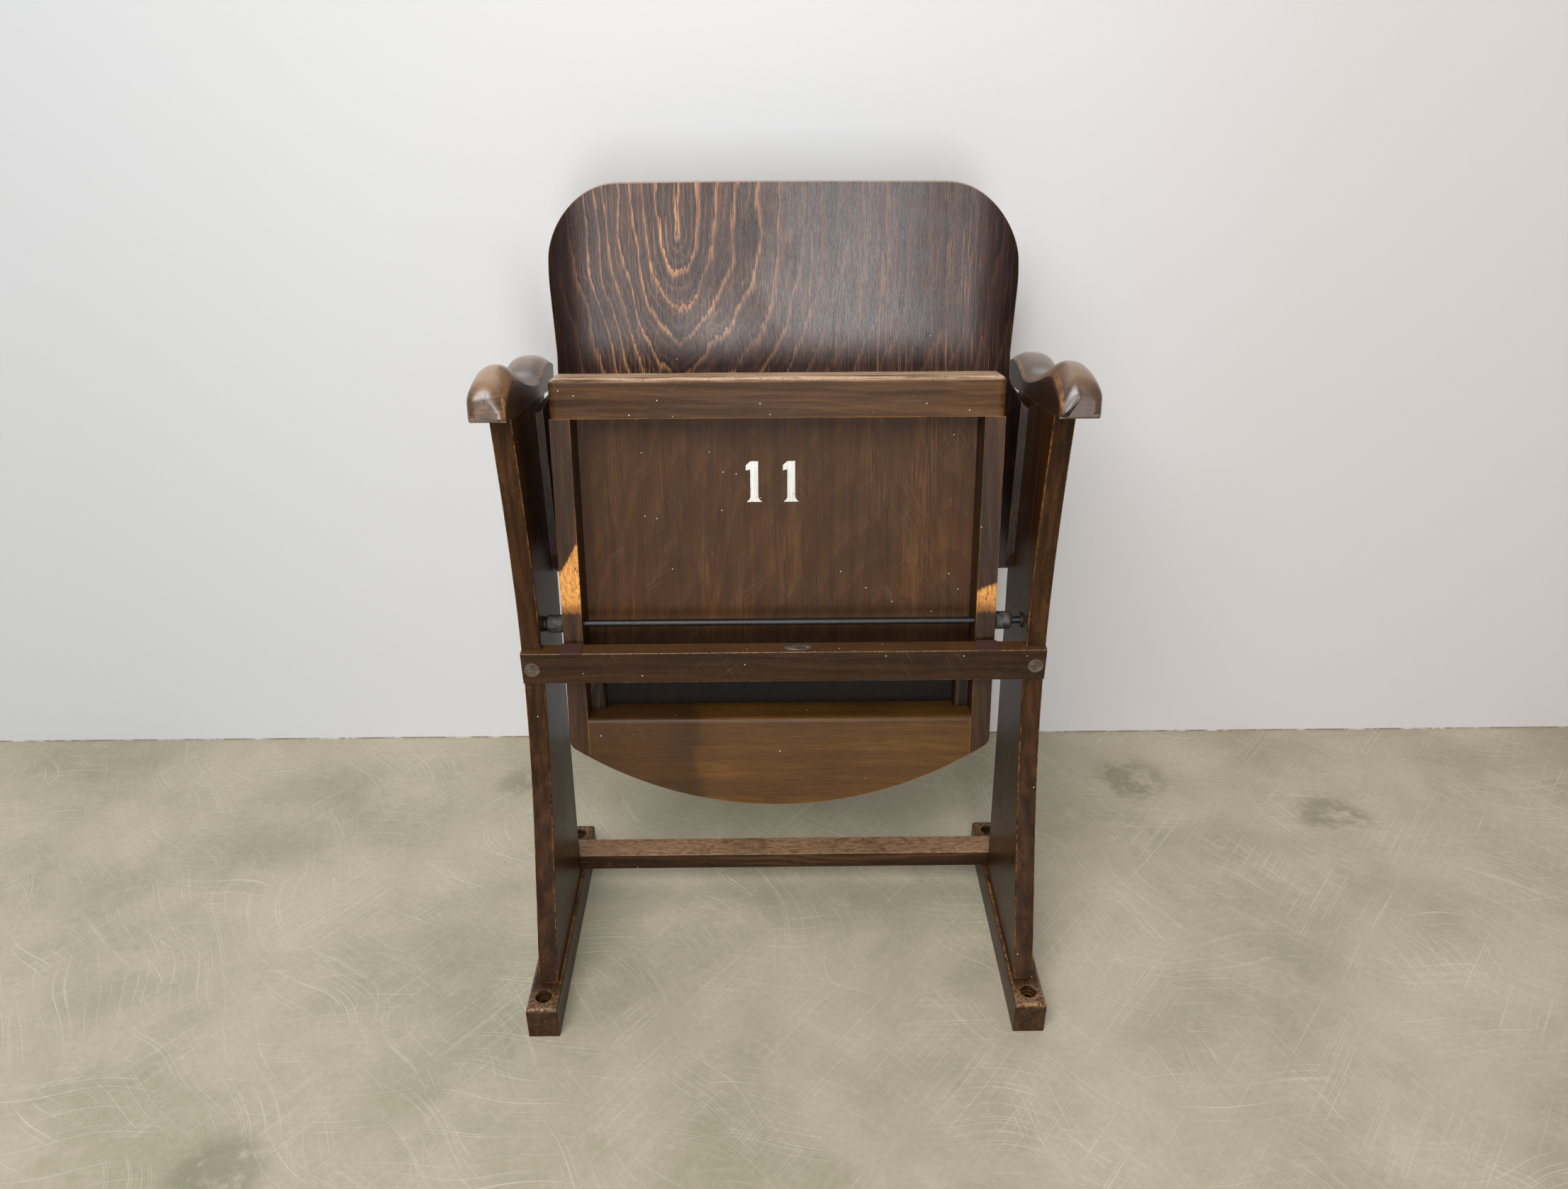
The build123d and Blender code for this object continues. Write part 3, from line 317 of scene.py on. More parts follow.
class Wood:
    """Stained and varnished wood.

    order names the axes across, through and along the board. deep, plain and vein are the colours
    of the wood and bare that of its worn arrises. pith is the middle of the trunk, spacing the
    width of a growth ring, and lean the frame that the board leans back with.
    """

    def __init__(self, name, order, lean=UPRIGHT, deep=WALNUT_DEEP, plain=WALNUT, vein=VEIN_DIM,
                 pith=(30.0, 90.0), taper=0.04, spacing=9.0, wander=6.0, vein_share=0.5,
                 gloss=0.34, wear=1.0, bare=BARE, worn_from=0.40, arris=None,
                 streaks=(0.34, 0.68), coat=0.0, specular=0.22):
        self.g = g = Graph(name)
        self.gloss = gloss
        self.coat = coat
        self.specular = specular
        self.point = g.place(*lean)
        self.grain = g.along(self.point, order)
        self.fibre = g.noise(g.stretch(self.grain, 1.3, 1.3, 0.035), 4.0, 0.65)
        self.streak = g.noise(g.stretch(self.grain, 0.10, 0.10, 0.004), 4.0, 0.6)
        self.cloud = g.noise(g.stretch(self.point, 0.012), 3.0)
        self.ragged = g.noise(g.stretch(self.point, 0.35, 0.35, 0.12), 5.0, 0.7)
        self.ring = growth_rings(g, self.grain, pith, taper, spacing, wander)
        self.tone = g.mix(g.rise(self.streak, *streaks), deep, plain)
        band = g.times(g.rise(self.ring, 0.62, 0.02), g.rise(self.streak, 0.30, 0.62))
        self.paint(g.times(band, vein_share), vein)
        if wear:
            self.wear(wear, bare, worn_from, arris)

    def paint(self, mask, colour):
        """Lays a colour over the wood where the mask is 1."""
        self.tone = self.g.mix(mask, self.tone, colour)

    def shade(self, amount):
        """Makes the wood lighter or darker by a factor."""
        self.tone = self.g.dimmed(self.tone, amount)

    def wear(self, amount, bare, worn_from, arris):
        """Stain rubbed off the arrises, more in some stretches than in others."""
        g = self.g
        patchy = g.noise(g.stretch(self.point, 0.02), 4.0, 0.7)
        edge = g.worn_edges(WEAR_WIDTH, self.ragged)
        if arris:
            edge = g.either(edge, g.times(g.arris(arris), g.rise(self.ragged, 0.38, 0.60)))
        edge = g.times(edge, g.rise(patchy, worn_from, worn_from + 0.20))
        self.paint(g.times(edge, amount), bare)

    def marks(self, share=0.30, cell=16.0):
        """Paint specks and fine scratches from years of use."""
        g = self.g
        self.paint(g.times(g.specks(self.point, cell, 0.8, share), 0.85), PAINT_WHITE)
        for turn in (0.5, -0.9):
            self.paint(g.times(g.scratches(self.point, turn, 60.0, 0.33), 0.14), SCRATCH)
        return self

    def finish(self, relief=0.10, pores=None):
        """The material, with smudged gloss and the grain and the pores as relief."""
        g = self.g
        self.shade(g.scaled(self.fibre, 1.3, 0.35))
        self.shade(g.scaled(self.cloud, 0.9, 0.55))
        smudge = g.scaled(self.cloud, 0.16, self.gloss - 0.08)
        rough = g.math("ADD", smudge, g.times(self.fibre, 0.12))
        height = g.math("ADD", self.fibre, g.times(self.ring, 0.25))
        if pores:
            height = g.math("ADD", height, pores)
        return g.shader(self.tone, rough, height, relief, coat=self.coat, specular=self.specular)


def lay(material, *names):
    """Gives the material to these CAD nodes."""
    for name in names:
        for slot in NODES[name].material_slots:
            slot.material = material


def panel_wood(name, pith):
    """A side board, with its front edges rubbed."""
    wood = Wood(name, "YXZ", plain=RED_BROWN, pith=pith, spacing=11.0, gloss=0.24, vein_share=0.18,
                bare=RUBBED, worn_from=0.36, arris="X", specular=0.14)
    return wood.marks(0.45, 13.0).finish()


# The figure of the backrest: nested arches, steep on the left and wide on the right.
FIGURE_X = -112.0
FIGURE_Z = 352.0
FIGURE_LEFT = 0.36           # half width of an arch for each millimetre of its depth
FIGURE_RIGHT = 0.62
FIGURE_SWAY = 44.0
ARCH_POWER = 1.6
ARCH_STEP = 36.0
# Places on the backrest in millimetres, across it or up from SHEET_FOOT: where a mask is 0 and 1,
# and for the left sheen the ends of its patch.
VEINS_RIGHT = (150.0, 20.0)
VEINS_LEFT = (-236.0, -196.0)
BENDS_PAINTED_SHADE = (246.0, 185.0)
RIM_ASIDE = (190.0, 200.0)
RIM_UP = (225.0, 245.0)
SHEEN_BEGINS = (60.0, 150.0)
SHEEN_ENDS = (235.0, 150.0)
LEFT_SHEEN_X = (-100.0, -30.0)
LEFT_SHEEN_Z = (170.0, 270.0)


def arches(g, point):
    """How far out of the middle of the nested arches a point lies, in millimetres."""
    across, _, along = g.parts(point)
    slow = g.noise(g.stretch(point, 0.012, 0.012, 0.006), 2.0)
    quick = g.noise(g.stretch(point, 0.045, 0.045, 0.010), 3.0, 0.6)
    torn = g.noise(g.stretch(point, 0.60, 0.60, 0.022), 3.0, 0.6)
    side = g.scaled(slow, FIGURE_SWAY, g.math("SUBTRACT", across, FIGURE_X + FIGURE_SWAY / 2))
    left = g.times(side, -1.0 / FIGURE_LEFT)
    side = g.math("MAXIMUM", left, g.times(side, 1.0 / FIGURE_RIGHT))
    drop = g.math("MAXIMUM", g.math("SUBTRACT", FIGURE_Z, along), 0.0)
    side = g.math("POWER", side, ARCH_POWER)
    reach = g.math("POWER", g.math("ADD", side, g.math("POWER", drop, ARCH_POWER)), 1.0 / ARCH_POWER)
    reach = g.math("ADD", reach, g.scaled(quick, 26.0, -13.0))
    return g.math("ADD", reach, g.scaled(torn, 16.0, -8.0))


def backrest_wood():
    """Bent plywood with pale veins in arches, painted shade on the bends, a pale rim and brushed varnish.
    """
    wood = Wood("backrest_wood", "XYZ", ON_SHEET, deep=PURPLE_DEEP, plain=PURPLE_BROWN, vein_share=0.0,
                worn_from=0.25)
    g = wood.g
    across, _, along = g.parts(wood.point)
    paint_arches(wood, across)
    aside = g.math("ABSOLUTE", across)
    # Painted shade: the wood darkened towards both bends, where the sheet turns away from the light.
    wood.shade(g.scaled(g.rise(aside, *BENDS_PAINTED_SHADE), 0.6, 0.4))
    wood.paint(g.times(sheet_rim(wood, across, aside, along), 0.8), TAN)
    sheen = g.rise(g.scaled(wood.cloud, 220.0, across), *SHEEN_BEGINS)
    sheen = g.times(sheen, g.rise(g.scaled(wood.cloud, 120.0, across), *SHEEN_ENDS))
    left = g.times(g.inside(across, *LEFT_SHEEN_X, 28.0), g.inside(along, *LEFT_SHEEN_Z, 40.0))
    wood.coat = g.scaled(g.either(sheen, left), 0.55, 0.45)
    brushed = g.noise(g.stretch(wood.grain, 0.45, 0.45, 0.018), 3.0, 0.6)
    return wood.marks(0.05).finish(0.30, g.times(brushed, 0.6))


def paint_arches(wood, across):
    """Shades the arches and lays torn pale veins on them, fainter towards the right, and pores."""
    g = wood.g
    reach = arches(g, wood.point)
    dashes = g.rise(g.noise(g.stretch(wood.grain, 0.95, 0.95, 0.040), 4.0, 0.7), 0.36, 0.52)
    fade = g.rise(g.scaled(wood.cloud, 160.0, across), *VEINS_RIGHT)
    fade = g.times(g.scaled(fade, 0.88, 0.12), g.rise(across, *VEINS_LEFT))
    stretches = g.scaled(g.rise(wood.cloud, 0.35, 0.62), 0.65, 0.35)
    ring = g.math("FRACT", g.math("DIVIDE", reach, ARCH_STEP))
    wood.shade(g.scaled(ring, -0.45, 1.15))
    for step, width, strength in ((ARCH_STEP, 0.24, 1.0), (ARCH_STEP / 2.7, 0.5, 0.20)):
        ring = g.math("FRACT", g.math("DIVIDE", reach, step))
        line = g.times(g.rise(ring, width, 0.04), g.rise(ring, 0.0, 0.03))
        wood.paint(g.times(line, dashes, fade, stretches, strength), VEIN)
    pores = g.rise(g.noise(g.stretch(wood.grain, 0.9, 0.9, 0.016), 3.0, 0.6), 0.58, 0.66)
    wood.paint(g.times(pores, g.rise(wood.cloud, 0.40, 0.60), 0.45), VEIN)


def sheet_rim(wood, across, aside, along):
    """1 on the worn edge of the sheet above the armrests, at its top and at its sides."""
    g = wood.g
    facing = g.add("TexCoord", {}, "Normal")
    upward = g.vector("DOT_PRODUCT", facing, SHEET_UP, "Value")
    sideways, backward, _ = g.parts(facing)
    outward = g.times(sideways, g.math("SIGN", across))
    rim = g.times(g.rise(outward, 0.0, 0.15), g.rise(backward, -0.15, -0.35), g.rise(aside, *RIM_ASIDE))
    rim = g.times(g.either(rim, g.rise(upward, 0.25, 0.5)), g.rise(wood.ragged, 0.28, 0.46))
    return g.times(rim, g.rise(along, *RIM_UP))


# Places on the seat in millimetres from the rod: where a mask is 0 and 1. The underside faces us.
PANEL_UNDER = (29.5, 29.0)
PANEL_PAINTED_SHADE = (-52.0, 6.0)
RAIL_UNDER = (-12.4, -13.1)
RAIL_MIDDLE = 215.5          # from the rod's middle to the middle of a side rail
LEFT_RAIL_WORN = (15.0, 74.0, 1.7)   # from, to, and how the end of the worn stretch slants
RIGHT_RAIL_WORN = (13.0, 40.0, -0.4)
NOSE_FRONT = (252.0, 257.2)
BLOCK_STAIN = (-24.0, -46.0)
DIGIT_MIDDLES = (-24.8, 13.7)
DIGIT_FOOT = 123.0
DIGIT_HEIGHT = 43.0
DIGIT_STEM = 4.0             # half the width of the stem
DIGIT_SERIF = (6.0, 4.0)     # height of the foot's flare, and how far it stands out
FLAG_LENGTH = 8.5            # from the middle of the digit
FLAG_BELOW = (0.25, -7.5)    # slope of the flag's lower side, and its height off the top at the stem
FLAG_ABOVE = (0.9, 3.5)      # the same of its upper side
DIGIT_SOFT = 0.4             # half width of a painted edge


def seat_ply():
    """The plywood seat, with a plain number on its underside and painted shade, almost black, behind the
    rod.
    """
    wood = Wood("seat_ply", "XYZ", ON_SEAT, deep=PLY_DEEP, plain=PLY_BROWN, pith=(150.0, 70.0), taper=0.5,
                spacing=30.0, wander=4.0, vein_share=0.25, gloss=0.40, wear=0.3, streaks=(0.10, 0.95),
                specular=0.16)
    g = wood.g
    across, depth, along = g.parts(wood.point)
    flames = g.noise(g.stretch(wood.point, 0.022, 0.022, 0.006), 4.0, 0.6)
    wisps = g.rise(g.noise(g.stretch(wood.point, 0.5, 0.5, 0.025), 4.0, 0.65), 0.42, 0.62)
    wood.paint(g.times(g.rise(flames, 0.50, 0.66), wisps, 0.6), PLY_LIGHT)
    wood.marks(0.35, 14.0)
    # Painted shade: the panel darkened almost to black behind the rod, on both its faces, for the shadow
    # under the crossbar.
    wood.shade(g.scaled(g.rise(along, *PANEL_PAINTED_SHADE), 0.92, 0.08))
    digits = g.either(*(digit_one(g, across, along, middle) for middle in DIGIT_MIDDLES))
    wood.paint(g.times(digits, g.rise(depth, *PANEL_UNDER), g.rise(wood.ragged, 0.30, 0.38)), PAINT_WHITE)
    return wood.finish()


def digit_one(g, across, along, middle):
    """The mask of a plain stencilled 1 with a flared foot and a slanting flag."""
    ripple = g.scaled(g.noise(g.add("CombineXYZ", {0: across, 1: along}), 3.0), 1.6, -0.8)
    x = g.math("ADD", g.math("SUBTRACT", across, middle), ripple)
    z = g.math("ADD", g.math("SUBTRACT", along, DIGIT_FOOT), ripple)
    tall = g.inside(z, 0.0, DIGIT_HEIGHT, DIGIT_SOFT)
    flare_height, flare_width = DIGIT_SERIF
    flare = g.math("SUBTRACT", 1.0, g.math("DIVIDE", z, flare_height), clamp=True)
    half = g.scaled(g.math("POWER", flare, 2.0), flare_width, DIGIT_STEM)
    stem = g.rise(g.math("SUBTRACT", g.math("ABSOLUTE", x), half), DIGIT_SOFT, -DIGIT_SOFT)
    flag = g.inside(x, -FLAG_LENGTH, 0.0, DIGIT_SOFT)
    for (slope, height), soft in ((FLAG_BELOW, DIGIT_SOFT), (FLAG_ABOVE, -DIGIT_SOFT)):
        over = g.math("SUBTRACT", z, g.scaled(x, slope, DIGIT_HEIGHT + height))
        flag = g.times(flag, g.rise(over, -soft, soft))
    return g.times(tall, g.either(stem, flag))


def seat_rail_wood(name, low, high, slant):
    """A side rail of the seat, its underside worn golden from low to high, where the edge slants."""
    wood = Wood(name, "XYZ", ON_SEAT, plain=RED_BROWN, vein_share=0.2, wear=0.7)
    g = wood.g
    across, depth, along = g.parts(wood.point)
    wood.marks()
    uneven = g.scaled(wood.ragged, 12.0, along)
    aside = g.math("SUBTRACT", g.math("ABSOLUTE", across), RAIL_MIDDLE)
    wedge = g.scaled(aside, slant, uneven)
    worn = g.times(g.rise(uneven, low + 4.0, low + 9.0), g.rise(wedge, high + 9.0, high + 3.0))
    patch = g.times(worn, g.rise(depth, *RAIL_UNDER))
    dark = g.rise(g.scaled(wood.ragged, 20.0, along), low + 26.0, low + 12.0)
    mottle = g.noise(g.stretch(wood.point, 0.45, 0.45, 0.16), 4.0, 0.75)
    gold = g.mix(g.rise(mottle, 0.42, 0.56), BARE, BARE_GOLD)
    gold = g.mix(g.rise(wood.ragged, 0.56, 0.66), gold, BARE_DARK)
    wood.paint(patch, g.mix(g.times(dark, 0.85), gold, BARE_DARK))
    return wood.finish()


def nose_wood():
    """The front rail of the seat, its foremost face rubbed and bleached in streaks."""
    wood = Wood("seat_front_wood", "ZYX", ON_SEAT, deep=PLY_DEEP, plain=NOSE_BROWN, pith=(20.0, -60.0),
                taper=0.05, worn_from=0.30, specular=0.14)
    g = wood.g
    forward = g.parts(wood.point)[2]
    rubbed = g.times(g.rise(forward, *NOSE_FRONT), g.rise(wood.ragged, 0.20, 0.50))
    bleached = g.noise(g.stretch(wood.grain, 0.25, 0.25, 0.012), 4.0, 0.65)
    wood.paint(rubbed, g.mix(g.rise(bleached, 0.38, 0.56), VEIN_DIM, PALE_TAN))
    return wood.marks(0.6, 14.0).finish()


def block_wood():
    """The golden rear block, stained darker towards its left end."""
    wood = Wood("block_wood", "ZYX", ON_SEAT, deep=GOLD_DEEP, plain=GOLD_BROWN, vein=GOLD_DEEP,
                pith=(-190.0, -90.0), taper=0.03, spacing=5.0, wander=7.0, worn_from=0.25, gloss=0.30)
    g = wood.g
    edge = g.scaled(wood.cloud, 130.0, g.parts(wood.point)[0])
    wood.paint(g.times(g.rise(edge, *BLOCK_STAIN), 0.6), WALNUT)
    return wood.marks(0.2).finish()


# Painted shade: the seat's corner blocks coloured near black, as dark as the shade in the seat's rear
# corners.
def glue_block_painted_shade():
    return Wood("glue_block_painted_shade", "XYZ", ON_SEAT, deep=SHADE_BLACK, plain=WALNUT_DEEP, wear=0).finish()


# Heights on the frame in millimetres, and places from its middle: where a mask is 0 and 1.
BAR_TOP = (400.8, 401.8)
STRETCHER_TOP = (60.3, 61.3)
FOOT_TOP = (34.0, 40.0)
FOOT_ENDS = (118.0, 140.0)
ARM_CREST = (684.0, 706.0)
ARM_CREASE = (0.6, 4.0)      # ends of a strip off the inner side
ARM_PAINTED_SHADE = (0.8, 0.2)


def bar_wood():
    """The crossbar, pale along its arrises and lighter on top."""
    wood = Wood("crossbar_wood", "ZYX", pith=(340.0, 40.0), taper=0.01, spacing=6.0, vein_share=0.12,
                bare=TAN, worn_from=0.28, arris="Z")
    g = wood.g
    wood.paint(g.times(g.rise(g.parts(wood.point)[2], *BAR_TOP), 0.6), VEIN_DIM)
    return wood.marks(0.6, 12.0).finish()


def stretcher_wood():
    """The rear stretcher, rubbed pale on top."""
    wood = Wood("stretcher_wood", "ZYX", plain=RED_BROWN, pith=(0.0, 90.0), taper=0.01, spacing=7.0,
                worn_from=0.28)
    g = wood.g
    rubbed = g.noise(g.stretch(wood.point, 0.12, 0.35, 0.35), 4.0, 0.75)
    top = g.rise(g.parts(wood.point)[2], *STRETCHER_TOP)
    wood.paint(g.times(top, g.rise(rubbed, 0.16, 0.78), 0.9), TAN)
    return wood.marks(0.4).finish()


def foot_wood():
    """A foot, rubbed pale on top of both its ends."""
    wood = Wood("foot_wood", "XZY", plain=RED_BROWN, pith=(0.0, -40.0), taper=0.02, spacing=8.0,
                vein_share=0.2, bare=RUBBED, worn_from=0.36, arris="Z", gloss=0.30, specular=0.25)
    g = wood.g
    _, along, up = g.parts(wood.point)
    ends = g.rise(g.math("ABSOLUTE", along), *FOOT_ENDS)
    wood.paint(g.times(ends, g.rise(up, *FOOT_TOP), g.rise(wood.ragged, 0.35, 0.65), 0.55), TAN)
    return wood.marks().finish()


def arm_wood(name, side, plain, rubbed_share):
    """A carved armrest: glossy, rubbed pale along its crest, with a bare crease and painted shade on its
    inner side.
    """
    wood = Wood(name, "XZY", deep=RED_BROWN, plain=plain, vein=WALNUT, pith=(side * 268.0, 300.0),
                spacing=4.2, wander=3.0, vein_share=0.75, wear=0.5, gloss=0.30, coat=1.0)
    g = wood.g
    x, y, z = g.parts(wood.point)
    x = g.times(x, side)
    rubbed = g.noise(g.stretch(wood.point, 0.03), 3.0, 0.6)
    above = g.scaled(y, math.tan(ARM_PITCH), z)
    crest = g.rise(g.scaled(rubbed, 16.0, above), *ARM_CREST)
    wood.paint(g.times(crest, rubbed_share), TAN)
    crease = g.inside(x, *(ARM_INNER + off for off in ARM_CREASE), 0.5)
    wood.paint(g.times(crease, g.rise(wood.ragged, 0.40, 0.60), 0.7), BARE)
    # Painted shade: the inner side of the armrest darkened, as it lies in shade.
    inner_shade = g.rise(x, *(ARM_INNER + off for off in ARM_PAINTED_SHADE))
    wood.paint(g.times(inner_shade, 0.85), WALNUT_DEEP)
    return wood.marks(0.1).finish()


def dowel_wood():
    return Wood("dowel_wood", "XYZ", deep=BARE_DARK, plain=BARE, vein=BARE, wear=0).finish()


# ---- carved armrests ----------------------------------------------------------------------------
# They stand for the solids left_armrest and right_armrest, with a rounder dome on the same
# underside. The photographed pair was shaped by hand: the left nose is slimmer than the right one.
ARM_LEVEL = 653.5            # height of the underside in the middle of the frame, where y is 0
ARM_PITCH = math.radians(10.6)
ARM_INNER = 251.0            # from the middle of the seat to the inner side
ARM_ARRIS = 3.8              # radius of the lower outer edge
ARM_CAPS = (12.0, 8.0, 7.0, 1.5)     # rounding of an end towards the top, outer, inner and lower side
CAP_FLAT = 0.93              # share of an end that is flat
DOME_ACROSS, DOME_UP = 0.84, 0.9     # powers below 1 make the dome fuller than an ellipse
NOSE_SLIMMER = 3.5           # how much narrower the left nose is
NOSE_SLIM_TO = 40.0          # behind this place both armrests are equally wide
NOSE_SLIM_OVER = 60.0        # length over which the left one narrows
SHARP = math.radians(30.0)
ARRIS_STEPS, DOME_STEPS, SLOPE_STEPS, INNER_STEPS = 8, 16, 10, 6
CAP_STEPS, LENGTH_STEPS = 10, 60
# Sections square to the armrest, each as: place along it, width, height of the upright outer side,
# crest off the inner side, height of the crest, height of the crease along the inner side.
ARM_SECTIONS = [
    (-41.0, 39.5, 14.0, 17.5, 30.0, 9.0),
    (-27.0, 39.5, 17.5, 16.5, 39.5, 19.0),
    (-15.0, 39.5, 19.0, 15.5, 44.5, 26.0),
    (2.0, 38.5, 20.0, 14.5, 47.5, 31.0),
    (28.0, 35.0, 18.0, 14.0, 42.5, 28.0),
    (62.0, 31.0, 13.5, 13.0, 31.0, 20.5),
    (100.0, 30.0, 10.0, 13.0, 24.0, 14.5),
    (130.0, 34.0, 10.0, 15.0, 24.5, 14.5),
    (150.0, 40.5, 12.5, 17.0, 31.0, 22.0),
    (172.0, 44.5, 15.0, 18.0, 36.5, 28.0),
    (194.0, 44.0, 15.0, 18.0, 35.0, 27.0),
    (213.0, 39.0, 11.0, 18.0, 29.0, 21.0),
]


def eased(column, y):
    """A column of ARM_SECTIONS at any place along the armrest, on a smooth curve through its rows."""
    places = [row[0] for row in ARM_SECTIONS]
    values = [row[column] for row in ARM_SECTIONS]
    last = len(places) - 1
    k = max(i for i in range(last) if i == 0 or places[i] <= y)

    def slope(i):
        low, high = max(i - 1, 0), min(i + 1, last)
        return (values[high] - values[low]) / (places[high] - places[low])

    span = places[k + 1] - places[k]
    t = (y - places[k]) / span
    bend = (t - 2 * t**2 + t**3) * slope(k) + (t**3 - t**2) * slope(k + 1)
    return values[k] + (3 * t**2 - 2 * t**3) * (values[k + 1] - values[k]) + bend * span


def arm_outline(y, side):
    """The section as (across, up) points: lower arris, dome, slope to the crease, inner side."""
    outer, flank, crest_x, crest, crease = (eased(column, y) for column in range(1, 6))
    if side < 0:
        outer -= NOSE_SLIMMER * min(max((NOSE_SLIM_TO - y) / NOSE_SLIM_OVER, 0.0), 1.0)
    points = []
    for k in range(ARRIS_STEPS + 1):
        turn = math.pi / 2 * k / ARRIS_STEPS
        points.append((outer - ARM_ARRIS * (1 - math.sin(turn)), ARM_ARRIS * (1 - math.cos(turn))))
    for k in range(DOME_STEPS + 1):
        turn = math.pi / 2 * k / DOME_STEPS
        across = (outer - crest_x) * max(math.cos(turn), 0.0) ** DOME_ACROSS
        points.append((crest_x + across, flank + (crest - flank) * math.sin(turn) ** DOME_UP))
    for k in range(1, SLOPE_STEPS + 1):
        share = k / SLOPE_STEPS
        points.append((crest_x * (1 - share), crest - (crest - crease) * share**2))
    for k in range(1, INNER_STEPS + 1):
        points.append((0.0, crease * (1 - k / INNER_STEPS)))
    return points


def arm_ring(y, side):
    """The corners of the mesh at one place, drawn in near both ends so that they are round."""
    outline = arm_outline(y, side)
    from_end = min(y - ARM_SECTIONS[0][0], ARM_SECTIONS[-1][0] - y)
    ring = []
    for k, (across, up) in enumerate(outline):
        before, after = outline[k - 1], outline[(k + 1) % len(outline)]
        along = Vector((after[0] - before[0], after[1] - before[1])).normalized()
        right, top = along.y, -along.x
        facing = (max(value, 0.0) ** 2 for value in (top, right, -right, -top))
        radius = sum(part * cap for part, cap in zip(facing, ARM_CAPS))
        inset = radius - math.sqrt(radius**2 - max(radius - from_end, 0.0) ** 2)
        across, up = across - right * inset, up - top * inset
        back = y * math.cos(ARM_PITCH) + up * math.sin(ARM_PITCH)
        height = ARM_LEVEL - y * math.sin(ARM_PITCH) + up * math.cos(ARM_PITCH)
        ring.append(Vector((side * (ARM_INNER + across), back, height)) * MM)
    return ring


def shrunk(ring):
    """A smaller ring in the same plane, so that an end is flat in its middle."""
    middle = sum(ring, Vector()) / len(ring)
    return [middle + (corner - middle) * CAP_FLAT for corner in ring]


def arm_rings(side):
    """The rings of an armrest from its nose to its tail, closer together on the round ends."""
    first, last = ARM_SECTIONS[0][0], ARM_SECTIONS[-1][0]
    cap = [ARM_CAPS[0] * (1 - math.cos(math.pi / 2 * k / CAP_STEPS)) for k in range(CAP_STEPS + 1)]
    between = last - first - 2 * cap[-1]
    middle = [first + cap[-1] + between * k / LENGTH_STEPS for k in range(1, LENGTH_STEPS)]
    places = [first + d for d in cap] + middle + [last - d for d in reversed(cap)]
    rings = [arm_ring(y, side) for y in places]
    return [shrunk(rings[0])] + rings + [shrunk(rings[-1])]


def carve_armrest(word, side, material):
    """The closed mesh of one armrest. word names it and side is -1 on the left and 1 on the right."""
    rings = arm_rings(side)
    count = len(rings[0])
    corners = [corner for ring in rings for corner in ring]
    faces = [tuple(range(count)), tuple(len(corners) - 1 - k for k in range(count))]
    for r in range(len(rings) - 1):
        for k in range(count):
            n = (k + 1) % count
            faces.append((r * count + k, (r + 1) * count + k, (r + 1) * count + n, r * count + n))
    mesh = bpy.data.meshes.new(word + "_armrest_carved")
    mesh.from_pydata(corners, [], faces if side > 0 else [face[::-1] for face in faces])
    mesh.shade_smooth()
    mesh.set_sharp_from_angle(angle=SHARP)
    mesh.materials.append(material)
    piece = bpy.data.objects.new(mesh.name, mesh)
    bpy.context.scene.collection.objects.link(piece)
    node = word + "_armrest"
    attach(piece, body_of(NODES[node])[0])
    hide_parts(node)


# ---- other materials ----------------------------------------------------------------------------
def metal(name, colour, worn, rough):
    """Stained metal with worn edges."""
    g = Graph(name)
    point = g.place(*UPRIGHT)
    grain = g.noise(g.stretch(point, 0.9), 5.0, 0.7)
    stain = g.noise(g.stretch(point, 0.12), 4.0)
    edge = g.worn_edges(0.5, grain)
    stained = tuple(0.5 * part for part in colour[:3]) + (1.0,)
    tone = g.mix(g.rise(stain, 0.35, 0.65), colour, stained)
    tone = g.mix(g.times(edge, 0.6), tone, worn)
    return g.shader(tone, g.scaled(grain, 0.3, rough - 0.15), grain, 0.03, 0.25, metal=0.85)


def rod_paint():
    """Black paint with chips."""
    g = Graph("rod_paint")
    point = g.place(*UPRIGHT)
    grain = g.noise(g.stretch(point, 0.25, 1.5, 1.5), 5.0, 0.75)
    chips = g.rise(grain, 0.64, 0.70)
    tone = g.mix(chips, ROD_BLACK, ROD_CHIP)
    return g.shader(tone, g.scaled(grain, 0.4, 0.14), grain, 0.12, 0.3, metal=0.2)


def rubber():
    g = Graph("bush_rubber")
    point = g.place(*UPRIGHT)
    grain = g.noise(g.stretch(point, 1.2), 4.0, 0.7)
    dust = g.rise(g.noise(g.stretch(point, 0.2), 3.0), 0.40, 0.70)
    tone = g.mix(dust, RUBBER_BLACK, RUBBER_DUST)
    return g.shader(tone, g.scaled(grain, 0.2, 0.5), grain, 0.08, 0.8)


def leather():
    g = Graph("pad_leather")
    point = g.place(*UPRIGHT)
    grain = g.noise(g.stretch(point, 1.6), 5.0, 0.8)
    cells = g.cells(g.stretch(point, 0.9), 5.0)
    tone = g.mix(g.rise(grain, 0.35, 0.7), LEATHER_DARK, LEATHER_RED)
    height = g.math("ADD", grain, g.times(cells.outputs["Distance"], 0.6))
    return g.shader(tone, g.scaled(grain, 0.2, 0.65), height, 0.35, 0.4)


